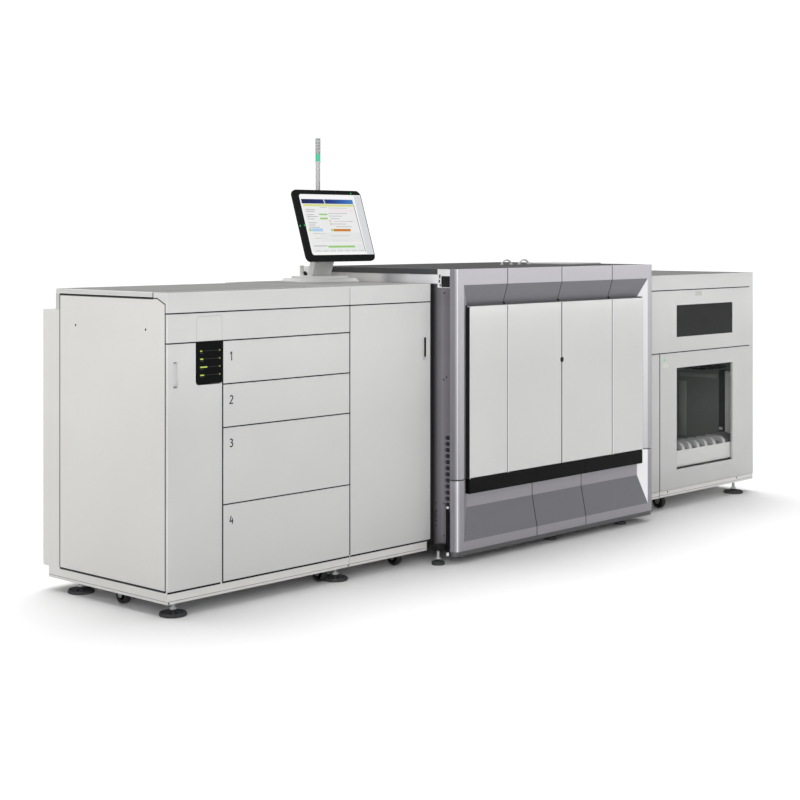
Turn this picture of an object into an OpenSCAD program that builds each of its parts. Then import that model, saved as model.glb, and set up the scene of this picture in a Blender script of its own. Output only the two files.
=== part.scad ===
// Digital production printer: paper input module, transfer module, print engine and stacker in one line.
// Drawn from the left end (x), the front plane of the cabinets (y) and the floor (z), then centred.

/* [Cabinets] */
// Height of the cabinet tops above the floor
cab_h = 1150; // [1120:5:1250]
// Depth of the cabinets from the drawer fronts to the back frame
cab_d = 669; // [620:1:760]
// Depth of the closed boxes on the back of the cabinets
rear_box_d = 106; // [60:1:160]
// Height of the gap between the closed boxes and the cabinet tops
rear_box_drop = 81; // [60:1:140]
// Thickness of the cabinet walls
wall_t = 16; // [12:1:22]
// Thickness of the decks between the drawers
deck_t = 12; // [8:1:16]
// Thickness of the drawer and door skins
skin_t = 12; // [10:1:16]
// Depth of the folded pan behind each skin
pan_t = 10; // [6:1:14]
// Distance from the edge of a skin to its pan
pan_inset = 26; // [22:1:36]
// Radius on the upright front edges of the skins
skin_r = 3; // [2.5:0.5:5]
// Width of the seams between skins
seam = 5; // [5:0.5:7]
// Height of the top band
top_band_h = 75; // [50:1:90]
// Thickness of the lids
lid_t = 18; // [14:1:24]
// Depth of the front cap of the input module
cap_d = 81; // [60:1:120]
// Height of the shadow gap under the lids
lid_gap = 4; // [3:0.5:6]
// Depth of the frame across the back of the lids
back_frame_d = 24; // [16:1:36]
// Length of the bevel on the corner of the side panel
bevel_y = 45; // [30:1:60]
// Height of the bevel on the corner of the side panel
bevel_z = 20; // [12:1:30]

/* [Base] */
// Free height under the plinths
floor_gap = 48; // [40:1:60]
// Free height under the stacker's plinth
stacker_floor_gap = 61; // [56:1:68]
// Height of the plinths
plinth_h = 42; // [30:1:50]
// Distance of the plinth faces behind the skins
plinth_inset = 3; // [1:0.5:8]
// Diameter of the big levelling pads
pad_d = 100; // [70:1:110]
// Diameter of the small levelling pads of the engine
small_pad_d = 55; // [40:1:65]
// Height of the levelling pads
pad_h = 16; // [12:1:20]
// Diameter of the levelling screws
foot_screw_d = 16; // [12:1:20]
// Diameter of the caster wheels
wheel_d = 65; // [50:1:76]
// Width of the caster wheels
wheel_w = 26; // [18:1:34]
// Height of the lifted caster wheels above the floor
wheel_lift = 3; // [2:0.5:8]

/* [Input module] */
// Width of the paper input module
input_w = 912; // [860:1:1000]
// Width of the narrow door beside the drawers
input_door_w = 256; // [220:1:300]
// Height of each of the two upper drawers
shallow_drawer_h = 158.5; // [140:0.5:165]
// Height of each of the two lower drawers
deep_drawer_h = 281; // [250:1:290]
// Width of the indicator panel
indicator_w = 123; // [90:1:140]
// Height of the indicator panel
indicator_h = 150; // [110:1:158]
// Radius of the lower corners of the indicator panel
indicator_r = 14; // [6:1:20]
// Depth of the drawer trays
tray_d = 560; // [480:1:600]
// Thickness of the tray sheets
tray_t = 4; // [3:0.5:6]
// Height of the drawer runners
runner_h = 24; // [16:1:30]
// Width of the drawer runners
runner_w = 12; // [9:1:16]
// Width of the finger grips in the doors
grip_w = 20; // [14:1:26]
// Height of the finger grips in the doors
grip_h = 92; // [70:1:120]
// Distance from the door edge to the finger grip
grip_inset = 26; // [22:1:40]

/* [Transfer module] */
// Width of the transfer module
transfer_w = 472; // [430:1:540]
// Gap between the input and transfer modules
module_gap = 3; // [2:0.5:6]

/* [Engine] */
// Width of the print engine
engine_w = 1426; // [1340:1:1500]
// Height of the print engine above the cabinet tops
engine_rise = 60; // [46:1:90]
// Depth of the print engine
engine_d = 914; // [860:1:1000]
// Distance that the engine stands proud of the cabinet fronts
engine_proud = 129; // [110:1:150]
// Gap between the engine and the modules beside it
engine_gap = 11; // [8:0.5:20]
// Width of the face of a frame post
post_w = 51; // [42:1:60]
// Depth of the front frame
frame_d = 32; // [30:1:40]
// Radius on the outer corners of the front frame
frame_r = 26; // [10:1:26]
// Depth of the slanted facets inside the front frame
facet_d = 27; // [20:1:28]
// Width of the slanted facets inside the front frame
facet_w = 49; // [40:1:60]
// Width of the chamfers on the posts beside the doors
chamfer_w = 25; // [8:1:30]
// Height of the light band across the top of the frame
hood_band_h = 65; // [50:1:80]
// Height of the dark slope under the light band
hood_slope_h = 85; // [70:1:100]
// Height of the lower edge of the engine doors above the floor
engine_door_z = 346; // [330:1:370]
// Gap between the frame posts and the engine doors
door_side_gap = 14; // [10:1:18]
// Thickness of the engine doors
engine_door_t = 20; // [14:1:24]
// Height of the black band under the engine doors
black_band_h = 66; // [50:1:80]
// Height of the recessed rail under the black band
rail_h = 58; // [40:1:70]
// Height of the bottom strip of the frame
bottom_strip_h = 38; // [28:1:50]
// Height of the lower edge of the engine frame above the floor
frame_z = 50; // [46:1:60]
// Depth of the bay behind the engine doors
bay_d = 240; // [160:1:320]
// Thickness of the engine's side panels
side_t = 22; // [16:1:30]
// Height of the dark top plate
top_plate_t = 22; // [16:1:28]

/* [Stacker] */
// Width of the stacker
stacker_w = 1100; // [1040:1:1180]
// Width of the stacker door
stacker_door_w = 866; // [840:1:900]
// Height of the upper edge of the stacker door above the floor
stacker_door_z = 767; // [740:1:790]
// Distance from the right end of the stacker to the windows
window_margin = 202; // [170:1:230]
// Width of the windows
window_w = 520; // [460:1:560]
// Height of the upper window
upper_window_h = 158; // [120:1:190]
// Height of the door window
door_window_h = 504; // [440:1:520]
// Thickness of the window panes
pane_t = 4; // [3:0.5:6]

/* [Console] */
// Width of the touch screen's housing
monitor_w = 412; // [360:1:460]
// Height of the touch screen's housing
monitor_h = 320; // [280:1:360]
// Thickness of the touch screen's housing
monitor_t = 38; // [28:1:50]
// Tilt of the touch screen away from upright
monitor_tilt = 18.4; // [10:0.2:30]
// Diameter of the signal tower
tower_d = 24; // [18:1:30]
// Height of the signal tower above the cabinet tops
tower_h = 627; // [560:1:700]

/* [Hidden] */
$fn = 48;

// Clearance of a piece from the seat that it rests on
play = 0.3;
// Overlap that makes cuts run clear of a surface
cut = 1;

// Places along the line
transfer_x = input_w + module_gap;
engine_x = transfer_x + transfer_w + engine_gap;
stacker_x = engine_x + engine_w + engine_gap;
line_l = stacker_x + stacker_w;
engine_front = -engine_proud;
engine_back = engine_front + engine_d;
engine_h = cab_h + engine_rise;

// Levels and depths shared by the cabinets
carcass_y = skin_t + play;
plinth_z = floor_gap + plinth_h;
top_seam_z = cab_h - top_band_h;
lid_z = cab_h - lid_t;
side_top_z = lid_z - lid_gap;
rear_box_z = cab_h - rear_box_drop;
back_y = cab_d - back_frame_d;
rear_y = back_y + rear_box_d;
skin_z = plinth_z + seam / 2;
edge_inset = (seam - module_gap) / 2;
skirt_t = 14;
edge_c = 2;
pivot_d = 4;
plinth_overhang = 47;
side_gap = 3;
plinth_y1 = cab_d + plinth_overhang;
side_y1 = back_y - side_gap;

// Drawers, numbered from the top
drawer_hs = [shallow_drawer_h, shallow_drawer_h, deep_drawer_h, deep_drawer_h];
drawer_top_z = plinth_z + 2 * shallow_drawer_h + 2 * deep_drawer_h;
head_z = drawer_top_z - deck_t / 2;
drawer_x0 = input_door_w + seam / 2;
drawer_x1 = input_w - edge_inset;
divider_x = input_door_w - wall_t / 2;
bay_x0 = divider_x + wall_t;
bay_x1 = input_w - wall_t;
runner_drop = 50;
runner_inset = 20;
tray_y = skin_t + pan_t;
tray_gap = 6;
tray_drop = 8;
strip_h = 6;
panel_gap = 2;
lift_inset = 30;
lift_t = 6;
guide_t = 3;
guide_inset = 44;
guide_y = 130;
guide_d = 180;
rear_guide_y = 470;
guide_drop = 24;
input_grip_drop = 112;
transfer_grip_drop = 86;

// Engine front
door_front = engine_front;
recess_y = engine_front + facet_d;
chamfer_d = chamfer_w * facet_d / facet_w;
frame_back = engine_front + frame_d;
hood_z = engine_h - hood_band_h;
slope_z = hood_z - hood_slope_h;
band_z = engine_door_z - black_band_h;
rail_z = band_z - rail_h;
strip_z = frame_z + bottom_strip_h;
post_x0 = engine_x + post_w;
post_x1 = engine_x + engine_w - post_w;
engine_door_x0 = post_x0 + chamfer_w + door_side_gap;
engine_door_x1 = post_x1 - chamfer_w - door_side_gap;
engine_mid = engine_x + engine_w / 2;
side_inset = 4;
base_lift = 10;
engine_in_x0 = engine_x + side_inset + side_t;
engine_in_x1 = engine_x + engine_w - side_inset - side_t;
engine_z = frame_z + base_lift;
jamb = 44;
sill_h = 20;
sill_inset = 5;
door_groove = 335;
leaf_groove_w = 4;
leaf_groove_d = 3;
band_set = 3;
band_y = engine_front + band_set;
band_groove_w = 2;
band_groove_d = 3;
groove_w = 5;
groove_back = 2;
hood_seams = [engine_x + door_groove, engine_mid, engine_x + engine_w - door_groove];
skirt_seam = 177;
skirt_seams = [engine_mid - skirt_seam, engine_mid + skirt_seam];
crown_z = cab_h;
bracket_d = 68;
bracket_h = 76;
bracket_z = engine_h - bracket_h;
bracket_hole = 17;
bracket_ys = [frame_back, engine_back - bracket_d];
outrigger_t = 20;
outrigger_w = 34;
outrigger_reach = 38;
skirt_clear = 1;
vent_h = 15;
vent_pitch = 25;
vent_count = 12;
vent_z = 234;
vent_depth = 3;
vent_w = 10;
vent_inset = 10;
cover_gap = 16;
cover_t = 18;
knob_d = 44;
knob_l = 26;
knob_zs = [520, 860];
top_plate_z = engine_h - top_plate_t;
hatch_t = 5;
hatch_w = 265;
hatch_d = 250;
hatch_inset = 10;
hatch_y = 170;
handle_span = 70;
handle_rise = 17;
handle_r = (pow(handle_span / 2, 2) + pow(handle_rise, 2)) / (2 * handle_rise);
handle_arc = asin(handle_span / 2 / handle_r);
handle_d = 8;
handle_foot_d = 16;
handle_foot_h = 5;
handle_y = 350;
handle_pitch = 130;
handle_inset = 513;
handle_count = 2;
handle_x = engine_x + engine_w - handle_inset;

// Stacker
stacker_x1 = stacker_x + stacker_w;
stacker_door_x0 = stacker_x1 - stacker_door_w;
stacker_floor_z = plinth_z + wall_t;
window_x0 = stacker_x1 - window_margin - window_w;
upper_window_rise = 75;
door_window_drop = 78;
upper_window_z = stacker_door_z + upper_window_rise;
door_window_z = stacker_door_z - door_window_drop - door_window_h;
pane_y = 3;
lining_t = 8;
lining_y0 = 16;
lining_x1 = stacker_x1 - wall_t - lining_t;
rack_inset = 26;
rack_x0 = window_x0 + rack_inset;
rack_y0 = 18;
rack_y1 = 150;
rack_lift = 88;
apron_lift = 8;
rack_z = door_window_z + rack_lift;
apron_z = door_window_z + apron_lift;
rack_rise = 28;
rack_t = 10;
post_y = 60;
post_top_z = 622;
fin_w = 24;
fin_r = 34;
fin_l = 70;
fin_places = [101, 166, 236, 309, 388, 478];

// Levelling feet of the cabinets and of the engine, and the casters
foot_inset = 50;
stacker_foot_inset = 144;
foot_y0 = 32;
foot_y1 = 578;
foot_places = [for (x = [foot_inset, input_w - foot_inset, stacker_x + foot_inset, stacker_x1 - stacker_foot_inset],
    y = [foot_y0, foot_y1]) [x, y, 0]];
front_foot_inset = 63;
rear_foot_inset = 46;
engine_foot_inset = 188;
engine_foot_ys = [engine_front + front_foot_inset, engine_back - rear_foot_inset];
outer_foot_places = [[engine_x - outrigger_reach, engine_foot_ys[0], 0],
    [engine_x + side_inset - outrigger_w / 2, engine_foot_ys[1], 0]];
inner_foot_places = [for (x = [engine_mid, engine_x + engine_w - engine_foot_inset], y = engine_foot_ys) [x, y, 0]];
pad_rim_h = 7;
pad_rim_w = 4;
pad_web_h = 5;
rim_c = 2;
hub_d = 26;
nut_d = 26;
nut_h = 9;
caster_inset = 117;
caster_y0 = 50;
caster_y1 = 470;
caster_side_y = 305;
side_caster_inset = 40;
transfer_caster = 305;
stacker_caster = 282;
stacker_caster_y = 40;
caster_places = [[side_caster_inset, caster_side_y], [input_w - caster_inset, caster_y0],
    [input_w - foot_inset, caster_y1], [transfer_x + transfer_caster, caster_y0],
    [transfer_x + transfer_caster, caster_y1], [stacker_x + stacker_caster, stacker_caster_y],
    [stacker_x + stacker_caster, caster_y1]];
fork_t = 3;
fork_w = 20;
fork_d = 11;
fork_top = 8;

// Gaps between the modules, bridged by the docking plates
dock_spans = [[input_w, transfer_x], [transfer_x + transfer_w, engine_x + side_inset],
    [engine_x + engine_w - side_inset, stacker_x]];
dock_y = 320;
dock_d = 160;
dock_z = 240;
dock_h = 60;

// Skirts, from one end of each cabinet to the other
transfer_plinth_cut = outrigger_w - side_inset - engine_gap + skirt_clear;
plinth_spans = [[0, input_w, floor_gap], [transfer_x, transfer_x + transfer_w - transfer_plinth_cut, floor_gap],
    [stacker_x, stacker_x1, stacker_floor_gap]];

// Console
console_inset = 99;
console_x = transfer_x + transfer_w - console_inset;
monitor_y = 415;
monitor_rise = 90;
monitor_z = cab_h + monitor_rise;
monitor_r = 26;
bezel = 36;
bezel_top = 20;
bezel_bottom = 28;
bezel_right = 4;
glass_r = 12;
rim_t = 10;
back_inset = 56;
glass_t = 3;
hinge_up = 100;
hinge_off = 30;
hinge_d = 34;
hinge_clear = 5;
pin_d = 12;
hinge_y = monitor_y + hinge_up * sin(monitor_tilt) + (monitor_t + hinge_off) * cos(monitor_tilt);
hinge_z = monitor_z + hinge_up * cos(monitor_tilt) - (monitor_t + hinge_off) * sin(monitor_tilt);
knuckle_w = 50;
neck_w = 112;
neck_t = 30;
neck_y = 562;
stand_w = 295;
stand_d = 184;
stand_t = 25;
foot_t = 16;
foot_edge = 4;
foot_step = 38;
stand_top = cab_h + stand_t;
stand_yaw = -15;
tower_inset = 33;
pole_d = 20;
tower_base_h = 12;
lamp_stack_h = 104;
lamp_h = 33;
lens_pitch = 14;
lens_groove = 3;
lens_groove_d = 20;
lens_count = 4;
tower_y = 635;
stand_offset = 33;
stand_x = console_x - stand_offset;
stand_y = 520;

function sum_to(list, last) = last < 0 ? 0 : list[last] + sum_to(list, last - 1);
function drawer_z(i) = drawer_top_z - sum_to(drawer_hs, i);

// A block between two opposite corners
module block(low, high) {
    translate(low)
        cube(high - low);
}

// Moves the line so that the origin lies on the floor under its middle
module centred() {
    translate([-line_l / 2, -(engine_front + engine_back) / 2, 0])
        children();
}

// An outline in depth and height, extruded along the line
module along(x0, x1) {
    translate([x0, 0, 0])
        rotate([90, 0, 90])
            linear_extrude(x1 - x0)
                children();
}

// The two front corners to trim off a plan outline of a skin
module corner_trim(r) {
    difference() {
        translate([-cut, -cut])
            square(r + cut);
        translate([r, r])
            circle(r);
    }
}

// A plate with rounded upright front edges and small chamfers behind them
module plate(x0, x1, y0, t, z0, z1) {
    w = x1 - x0;
    translate([x0, y0, z0])
        linear_extrude(z1 - z0)
            difference() {
                polygon([[0, 0], [w, 0], [w, t - edge_c], [w - edge_c, t], [edge_c, t], [0, t - edge_c]]);
                corner_trim(skin_r);
                translate([w, 0])
                    mirror([1, 0])
                        corner_trim(skin_r);
            }
}

// Pivot pins of a door, round about its rounded front edge, from just above their lower seat to just below the upper
module pivots(x, y, z0, z1, low, high) {
    for (span = [[low, z0 + edge_inset + cut], [z1 - edge_inset - cut, high]])
        translate([x, y, span[0]])
            cylinder(d = pivot_d, h = span[1] - span[0]);
}

// A skin with the folded pan behind it
module panned_skin(x0, x1, z0, z1) {
    plate(x0, x1, 0, skin_t, z0, z1);
    block([x0 + pan_inset, skin_t - cut, z0 + pan_inset], [x1 - pan_inset, skin_t + pan_t, z1 - pan_inset]);
}

// The hollow of a finger grip, cut into a skin
module grip(x, z) {
    block([x - grip_w / 2, -cut, z - grip_h / 2], [x + grip_w / 2, skin_t - 3, z + grip_h / 2]);
}

// Outline of the cabinet side in depth and height, bevelled at the upper front corner
module side_outline(z0, y1) {
    polygon([[carcass_y, z0], [carcass_y, side_top_z - bevel_z], [carcass_y + bevel_y, side_top_z],
        [y1, side_top_z], [y1, z0]]);
}

module input_side_left() {
    color("gainsboro")
        along(0, wall_t)
            side_outline(plinth_z + seam, side_y1);
}

// Right wall, divider beside the narrow door and back wall
module input_walls() {
    color("lightgray") {
        block([bay_x1, carcass_y, plinth_z], [input_w, back_y, head_z]);
        block([divider_x, carcass_y, plinth_z + deck_t], [bay_x0, back_y - wall_t, head_z]);
        block([wall_t, back_y - wall_t, plinth_z], [bay_x1, back_y, head_z]);
    }
}

module input_back_box() {
    color("gainsboro")
        block([0, back_y, plinth_z], [input_w, rear_y, rear_box_z]);
}

// Decks between the drawers, with the cabinet's floor as the lowest
module input_decks() {
    color("silver") {
        block([wall_t, carcass_y, plinth_z], [bay_x1, back_y - wall_t, plinth_z + deck_t]);
        for (i = [0 : 2])
            translate([0, 0, drawer_z(i)])
                block([bay_x0, carcass_y, -deck_t / 2], [bay_x1, back_y - wall_t, deck_t / 2]);
    }
}

// Fixed runners on both sides of each bay
module input_runners() {
    color("darkgray")
        for (i = [0 : 3], x = [bay_x0, bay_x1 - runner_w])
            translate([x, carcass_y + runner_inset, drawer_z(i) + runner_drop])
                cube([runner_w, tray_d, runner_h]);
}

// Closed upper part of the input module
module input_head() {
    color("lightgray") {
        along(wall_t, input_w)
            side_outline(head_z, back_y);
        block([0, back_y, rear_box_z], [input_w, cab_d, lid_z]);
    }
}

// Band above the drawers, and the front cap that is bevelled inside to fit the side panel's corner
module input_fronts() {
    color("gainsboro") {
        plate(0, input_w, 0, skin_t, drawer_top_z + seam / 2, top_seam_z - seam / 2);
        along(0, input_w)
            polygon([[0, top_seam_z + seam / 2], [0, cab_h], [cap_d, cab_h], [cap_d, side_top_z + play],
                [carcass_y + bevel_y, side_top_z + play], [skin_t, side_top_z - bevel_z],
                [skin_t, top_seam_z + seam / 2]]);
    }
}

module input_lid() {
    color("darkgray")
        block([0, cap_d + 2, lid_z], [input_w, cab_d, cab_h]);
}

module input_door() {
    color("gainsboro") {
        difference() {
            panned_skin(0, input_door_w - seam / 2, skin_z, drawer_top_z - seam / 2);
            indicator_cut(seam);
            grip(grip_inset + grip_w / 2, drawer_top_z - input_grip_drop);
        }
        pivots(input_door_w - seam / 2 - skin_r, skin_r, skin_z, drawer_top_z - indicator_h - seam,
            plinth_z + play, drawer_top_z - indicator_h - play);
    }
}

// Space of the indicator panel, with a margin around it
module indicator_cut(margin) {
    translate([0, skin_t + pan_t + cut, 0])
        rotate([90, 0, 0])
            linear_extrude(skin_t + pan_t + 2 * cut)
                indicator_outline(margin);
}

module indicator_outline(margin) {
    x0 = input_door_w - indicator_w - margin;
    z0 = drawer_top_z - indicator_h - margin;
    r = indicator_r;
    difference() {
        translate([x0, z0])
            square([indicator_w + 2 * margin, indicator_h + 2 * margin]);
        translate([x0, z0])
            corner_trim(r);
    }
}

module indicator_panel() {
    color("black")
        translate([0, skin_t, 0])
            rotate([90, 0, 0])
                linear_extrude(skin_t)
                    difference() {
                        indicator_outline(0);
                        translate([input_door_w - panel_gap, 0])
                            square([indicator_w, cab_h]);
                    }
}

// One drawer: skin, pan, open tray and the strips that ride on the runners
module drawer(i) {
    z0 = drawer_z(i);
    z1 = z0 + drawer_hs[i];
    tray_x0 = bay_x0 + runner_w + tray_gap;
    tray_x1 = bay_x1 - runner_w - tray_gap;
    tray_z0 = z0 + deck_t / 2 + tray_drop;
    tray_z1 = z1 - pan_inset - tray_drop;
    floor_z = tray_z0 + tray_t;
    strip_z = z0 + runner_drop + runner_h + play;
    panned_skin(drawer_x0, drawer_x1, z0 + seam / 2, z1 - seam / 2);
    difference() {
        block([tray_x0, tray_y - cut, tray_z0], [tray_x1, tray_y + tray_d, tray_z1]);
        block([tray_x0 + tray_t, tray_y + tray_t, tray_z0 + tray_t],
            [tray_x1 - tray_t, tray_y + tray_d - tray_t, tray_z1 + cut]);
    }
    for (x = [bay_x0 + play, tray_x1 - cut])
        block([x, tray_y + guide_inset, strip_z],
            [x + runner_w + tray_gap - play + cut, tray_y + tray_d, strip_z + strip_h]);
    // Lift plate with the side guides and the rear guide of the paper stack
    block([tray_x0 + lift_inset, tray_y + lift_inset, floor_z - cut],
        [tray_x1 - lift_inset, tray_y + tray_d - lift_inset, floor_z + lift_t]);
    for (x = [tray_x0 + guide_inset, tray_x1 - guide_inset - guide_t])
        block([x, tray_y + guide_y, floor_z], [x + guide_t, tray_y + guide_y + guide_d, tray_z1 - guide_drop]);
    block([(tray_x0 + tray_x1 - guide_d) / 2, tray_y + rear_guide_y, floor_z],
        [(tray_x0 + tray_x1 + guide_d) / 2, tray_y + rear_guide_y + guide_t, tray_z1 - guide_drop]);
}

module drawer_1() {
    color("gainsboro")
        drawer(0);
}

module drawer_2() {
    color("gainsboro")
        drawer(1);
}

module drawer_3() {
    color("gainsboro")
        drawer(2);
}

module drawer_4() {
    color("gainsboro")
        drawer(3);
}

// Walls around the bay behind the transfer door, closed behind by the solid rear part
module transfer_cabinet() {
    color("lightgray")
        difference() {
            block([transfer_x, carcass_y, plinth_z], [transfer_x + transfer_w, rear_y, lid_z]);
            block([transfer_x + wall_t, carcass_y - cut, plinth_z + wall_t],
                [transfer_x + transfer_w - wall_t, carcass_y + bay_d, top_seam_z - wall_t]);
            block([transfer_x - cut, carcass_y - cut, top_seam_z],
                [transfer_x + transfer_w + cut, cap_d, lid_z + cut]);
        }
}

module transfer_cap() {
    color("gainsboro") {
        block([transfer_x, 0, top_seam_z + seam / 2], [transfer_x + transfer_w, cap_d, cab_h]);
        block([transfer_x, cap_d, lid_z], [transfer_x + transfer_w, rear_y, cab_h]);
    }
}

module transfer_door() {
    color("gainsboro") {
        difference() {
            panned_skin(transfer_x + edge_inset, transfer_x + transfer_w, skin_z, top_seam_z - seam / 2);
            grip(transfer_x + transfer_w - grip_inset - grip_w / 2, drawer_top_z - transfer_grip_drop);
        }
        pivots(transfer_x + edge_inset + skin_r, skin_r, skin_z, top_seam_z - seam / 2,
            plinth_z + play, top_seam_z + seam / 2 - play);
    }
}

// Plan outline of a frame post: rounded outside, chamfered beside the door
module post_outline() {
    difference() {
        polygon([[0, 0], [post_w, 0], [post_w + chamfer_w, chamfer_d],
            [post_w + chamfer_w, frame_d], [0, frame_d]]);
        corner_trim(frame_r);
    }
}

// Plan outline of the slanted facet beside the hood and the skirt
module facet_outline() {
    polygon([[post_w, 0], [post_w + chamfer_w, chamfer_d], [post_w + facet_w, facet_d],
        [post_w + facet_w, frame_d], [post_w, frame_d]]);
}

// Repeats the left half of the frame on the right
module both_sides() {
    children();
    translate([2 * engine_mid, 0, 0])
        mirror([1, 0, 0])
            children();
}

module engine_frame_upper() {
    color("silver") {
        both_sides()
            translate([engine_x, engine_front, 0]) {
                translate([0, 0, engine_door_z])
                    linear_extrude(engine_h - engine_door_z)
                        post_outline();
                translate([0, 0, slope_z])
                    linear_extrude(engine_h - slope_z)
                        facet_outline();
            }
        difference() {
            block([post_x0, engine_front, hood_z], [post_x1, frame_back, engine_h]);
            seam_grooves(hood_seams, hood_z, engine_h);
        }
    }
}

module engine_frame_lower() {
    color("silver") {
        both_sides()
            translate([engine_x, engine_front, frame_z]) {
                linear_extrude(engine_door_z - frame_z - seam)
                    post_outline();
                linear_extrude(band_z - frame_z)
                    facet_outline();
            }
        difference() {
            block([post_x0, engine_front, frame_z], [post_x1, frame_back, strip_z]);
            seam_grooves(skirt_seams, frame_z, strip_z);
        }
        difference() {
            block([post_x0 + facet_w - cut, recess_y, rail_z],
                [post_x1 - facet_w + cut, frame_back, engine_door_z - seam]);
            seam_grooves(skirt_seams, rail_z, band_z - 2 * cut);
        }
    }
}

// Plan outline between the two facets
module between_facets() {
    polygon([[post_x0, engine_front], [post_x1, engine_front], [post_x1 - facet_w, recess_y],
        [post_x1 - facet_w, frame_back], [post_x0 + facet_w, frame_back], [post_x0 + facet_w, recess_y]]);
}

// A slanted piece between the facets, mitred against them
module slope(z0, y0, z1, y1, seams) {
    difference() {
        intersection() {
            linear_extrude(engine_h)
                between_facets();
            along(engine_x, engine_x + engine_w)
                polygon([[y0, z0], [y1, z1], [frame_back, z1], [frame_back, z0]]);
        }
        seam_grooves(seams, z0, z1);
    }
}

// Dark sill under the frame, set back from its face
module engine_sill() {
    color("dimgray")
        difference() {
            block([engine_x + sill_inset, engine_front + sill_inset, frame_z - sill_h],
                [engine_x + engine_w - sill_inset, frame_back, frame_z]);
            both_sides()
                translate([engine_x + sill_inset, engine_front + sill_inset, frame_z - sill_h - cut])
                    linear_extrude(sill_h + 2 * cut)
                        corner_trim(frame_r - sill_inset);
        }
}

// Dark slopes of the hood above the doors and of the skirt below them
module engine_slopes() {
    color("dimgray") {
        slope(slope_z, recess_y, hood_z, engine_front, hood_seams);
        slope(strip_z, engine_front, rail_z, recess_y, skirt_seams);
    }
}

// Narrow grooves at the seams of the slanted and recessed pieces of the engine's front
module seam_grooves(places, z0, z1) {
    for (x = places)
        block([x - groove_w / 2, engine_front - cut, z0 - cut],
            [x + groove_w / 2, frame_back - groove_back, z1 + cut]);
}

module engine_band() {
    color("black")
        difference() {
            block([engine_door_x0, band_y, band_z], [engine_door_x1, recess_y, engine_door_z - seam]);
            for (x = skirt_seams)
                block([x - band_groove_w / 2, band_y - cut, band_z - cut],
                    [x + band_groove_w / 2, band_y + band_groove_d, engine_door_z]);
        }
}

// One engine door between two positions along the line, with its groove, the pan behind it and its pivot
module engine_door(x0, x1, groove_x, pivot_x) {
    difference() {
        plate(x0, x1, door_front, engine_door_t, engine_door_z, slope_z - seam);
        block([groove_x - leaf_groove_w / 2, door_front - cut, engine_door_z - cut],
            [groove_x + leaf_groove_w / 2, door_front + leaf_groove_d, slope_z]);
    }
    block([x0 + pan_inset, door_front + engine_door_t - cut, engine_door_z + pan_inset],
        [x1 - pan_inset, frame_back - play, slope_z - seam - pan_inset]);
    pivots(pivot_x, door_front + skin_r, engine_door_z, slope_z - seam, engine_door_z - seam + play,
        slope_z - seam);
}

module engine_door_left() {
    color("gainsboro")
        engine_door(engine_door_x0, engine_mid - seam / 2, engine_x + door_groove, engine_door_x0 + skin_r);
}

module engine_door_right() {
    color("gainsboro")
        engine_door(engine_mid + seam / 2, engine_door_x1, engine_x + engine_w - door_groove,
            engine_door_x1 - skin_r);
}

// Side panels with a row of blind air slots beside the frame
module engine_sides() {
    slot_y = frame_back + vent_inset;
    color("gray")
        both_sides()
            difference() {
                block([engine_x + side_inset, frame_back, engine_z], [engine_in_x0, engine_back, crown_z]);
                for (i = [0 : vent_count - 1])
                    block([engine_x, slot_y, vent_z + i * vent_pitch],
                        [engine_x + side_inset + vent_depth, slot_y + vent_w, vent_z + i * vent_pitch + vent_h]);
            }
}

module engine_core() {
    color("gray")
        block([engine_in_x0, frame_back + bay_d, engine_z], [engine_in_x1, engine_back, crown_z]);
}

// Front part of the engine's housing, with the bay behind the doors
module engine_bay() {
    color("gray")
        difference() {
            block([engine_in_x0, frame_back, engine_z], [engine_in_x1, frame_back + bay_d, crown_z]);
            block([engine_door_x0 + jamb, frame_back - cut, engine_door_z + jamb],
                [engine_door_x1 - jamb, frame_back + bay_d - wall_t, slope_z - seam - jamb]);
        }
}

module engine_crown() {
    color("gainsboro")
        block([engine_x + side_inset, frame_back, crown_z],
            [engine_x + engine_w - side_inset, engine_back, top_plate_z]);
}

module engine_top() {
    color("dimgray")
        difference() {
            block([engine_x, frame_back, top_plate_z], [engine_x + engine_w, engine_back, engine_h]);
            both_sides()
                for (y = bracket_ys)
                    block([engine_x - cut, y - cut, top_plate_z - cut],
                        [engine_x + side_inset, y + bracket_d + cut, engine_h + cut]);
        }
}

// Low light cover on the right of the engine's top
module top_hatch() {
    x1 = engine_x + engine_w - hatch_inset;
    color("gainsboro")
        plate(x1 - hatch_w, x1, hatch_y, hatch_d, engine_h, engine_h + hatch_t);
}

// Two bow handles on the engine's top, each on two round feet
module top_handles() {
    color("dimgray")
        for (i = [0 : handle_count - 1])
            translate([handle_x + i * handle_pitch, handle_y, engine_h]) {
                translate([0, 0, handle_foot_h + handle_rise - handle_r])
                    rotate([90, 0, 0])
                        rotate(90 - handle_arc)
                            rotate_extrude(angle = 2 * handle_arc)
                                translate([handle_r, 0])
                                    circle(d = handle_d);
                for (x = [-handle_span / 2, handle_span / 2])
                    translate([x, 0, 0])
                        cylinder(d = handle_foot_d, h = handle_foot_h);
            }
}

// Plates with a square hole at the upper corners of the engine's sides
module engine_brackets() {
    color("white")
        both_sides()
            for (y = bracket_ys)
                difference() {
                    block([engine_x, y, bracket_z], [engine_x + side_inset, y + bracket_d, engine_h]);
                    block([engine_x - cut, y + bracket_hole, bracket_z + bracket_hole],
                        [engine_x + side_inset + cut, y + bracket_d - bracket_hole, engine_h - 2 * bracket_hole]);
                }
}

// Brackets low on the engine's left side that carry its outer levelling feet
module engine_outriggers() {
    color("dimgray")
        for (place = outer_foot_places)
            block([place.x - outrigger_w / 2, place.y - outrigger_w / 2, engine_z],
                [engine_x + side_inset, place.y + outrigger_w / 2, engine_z + outrigger_t]);
}

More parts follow.
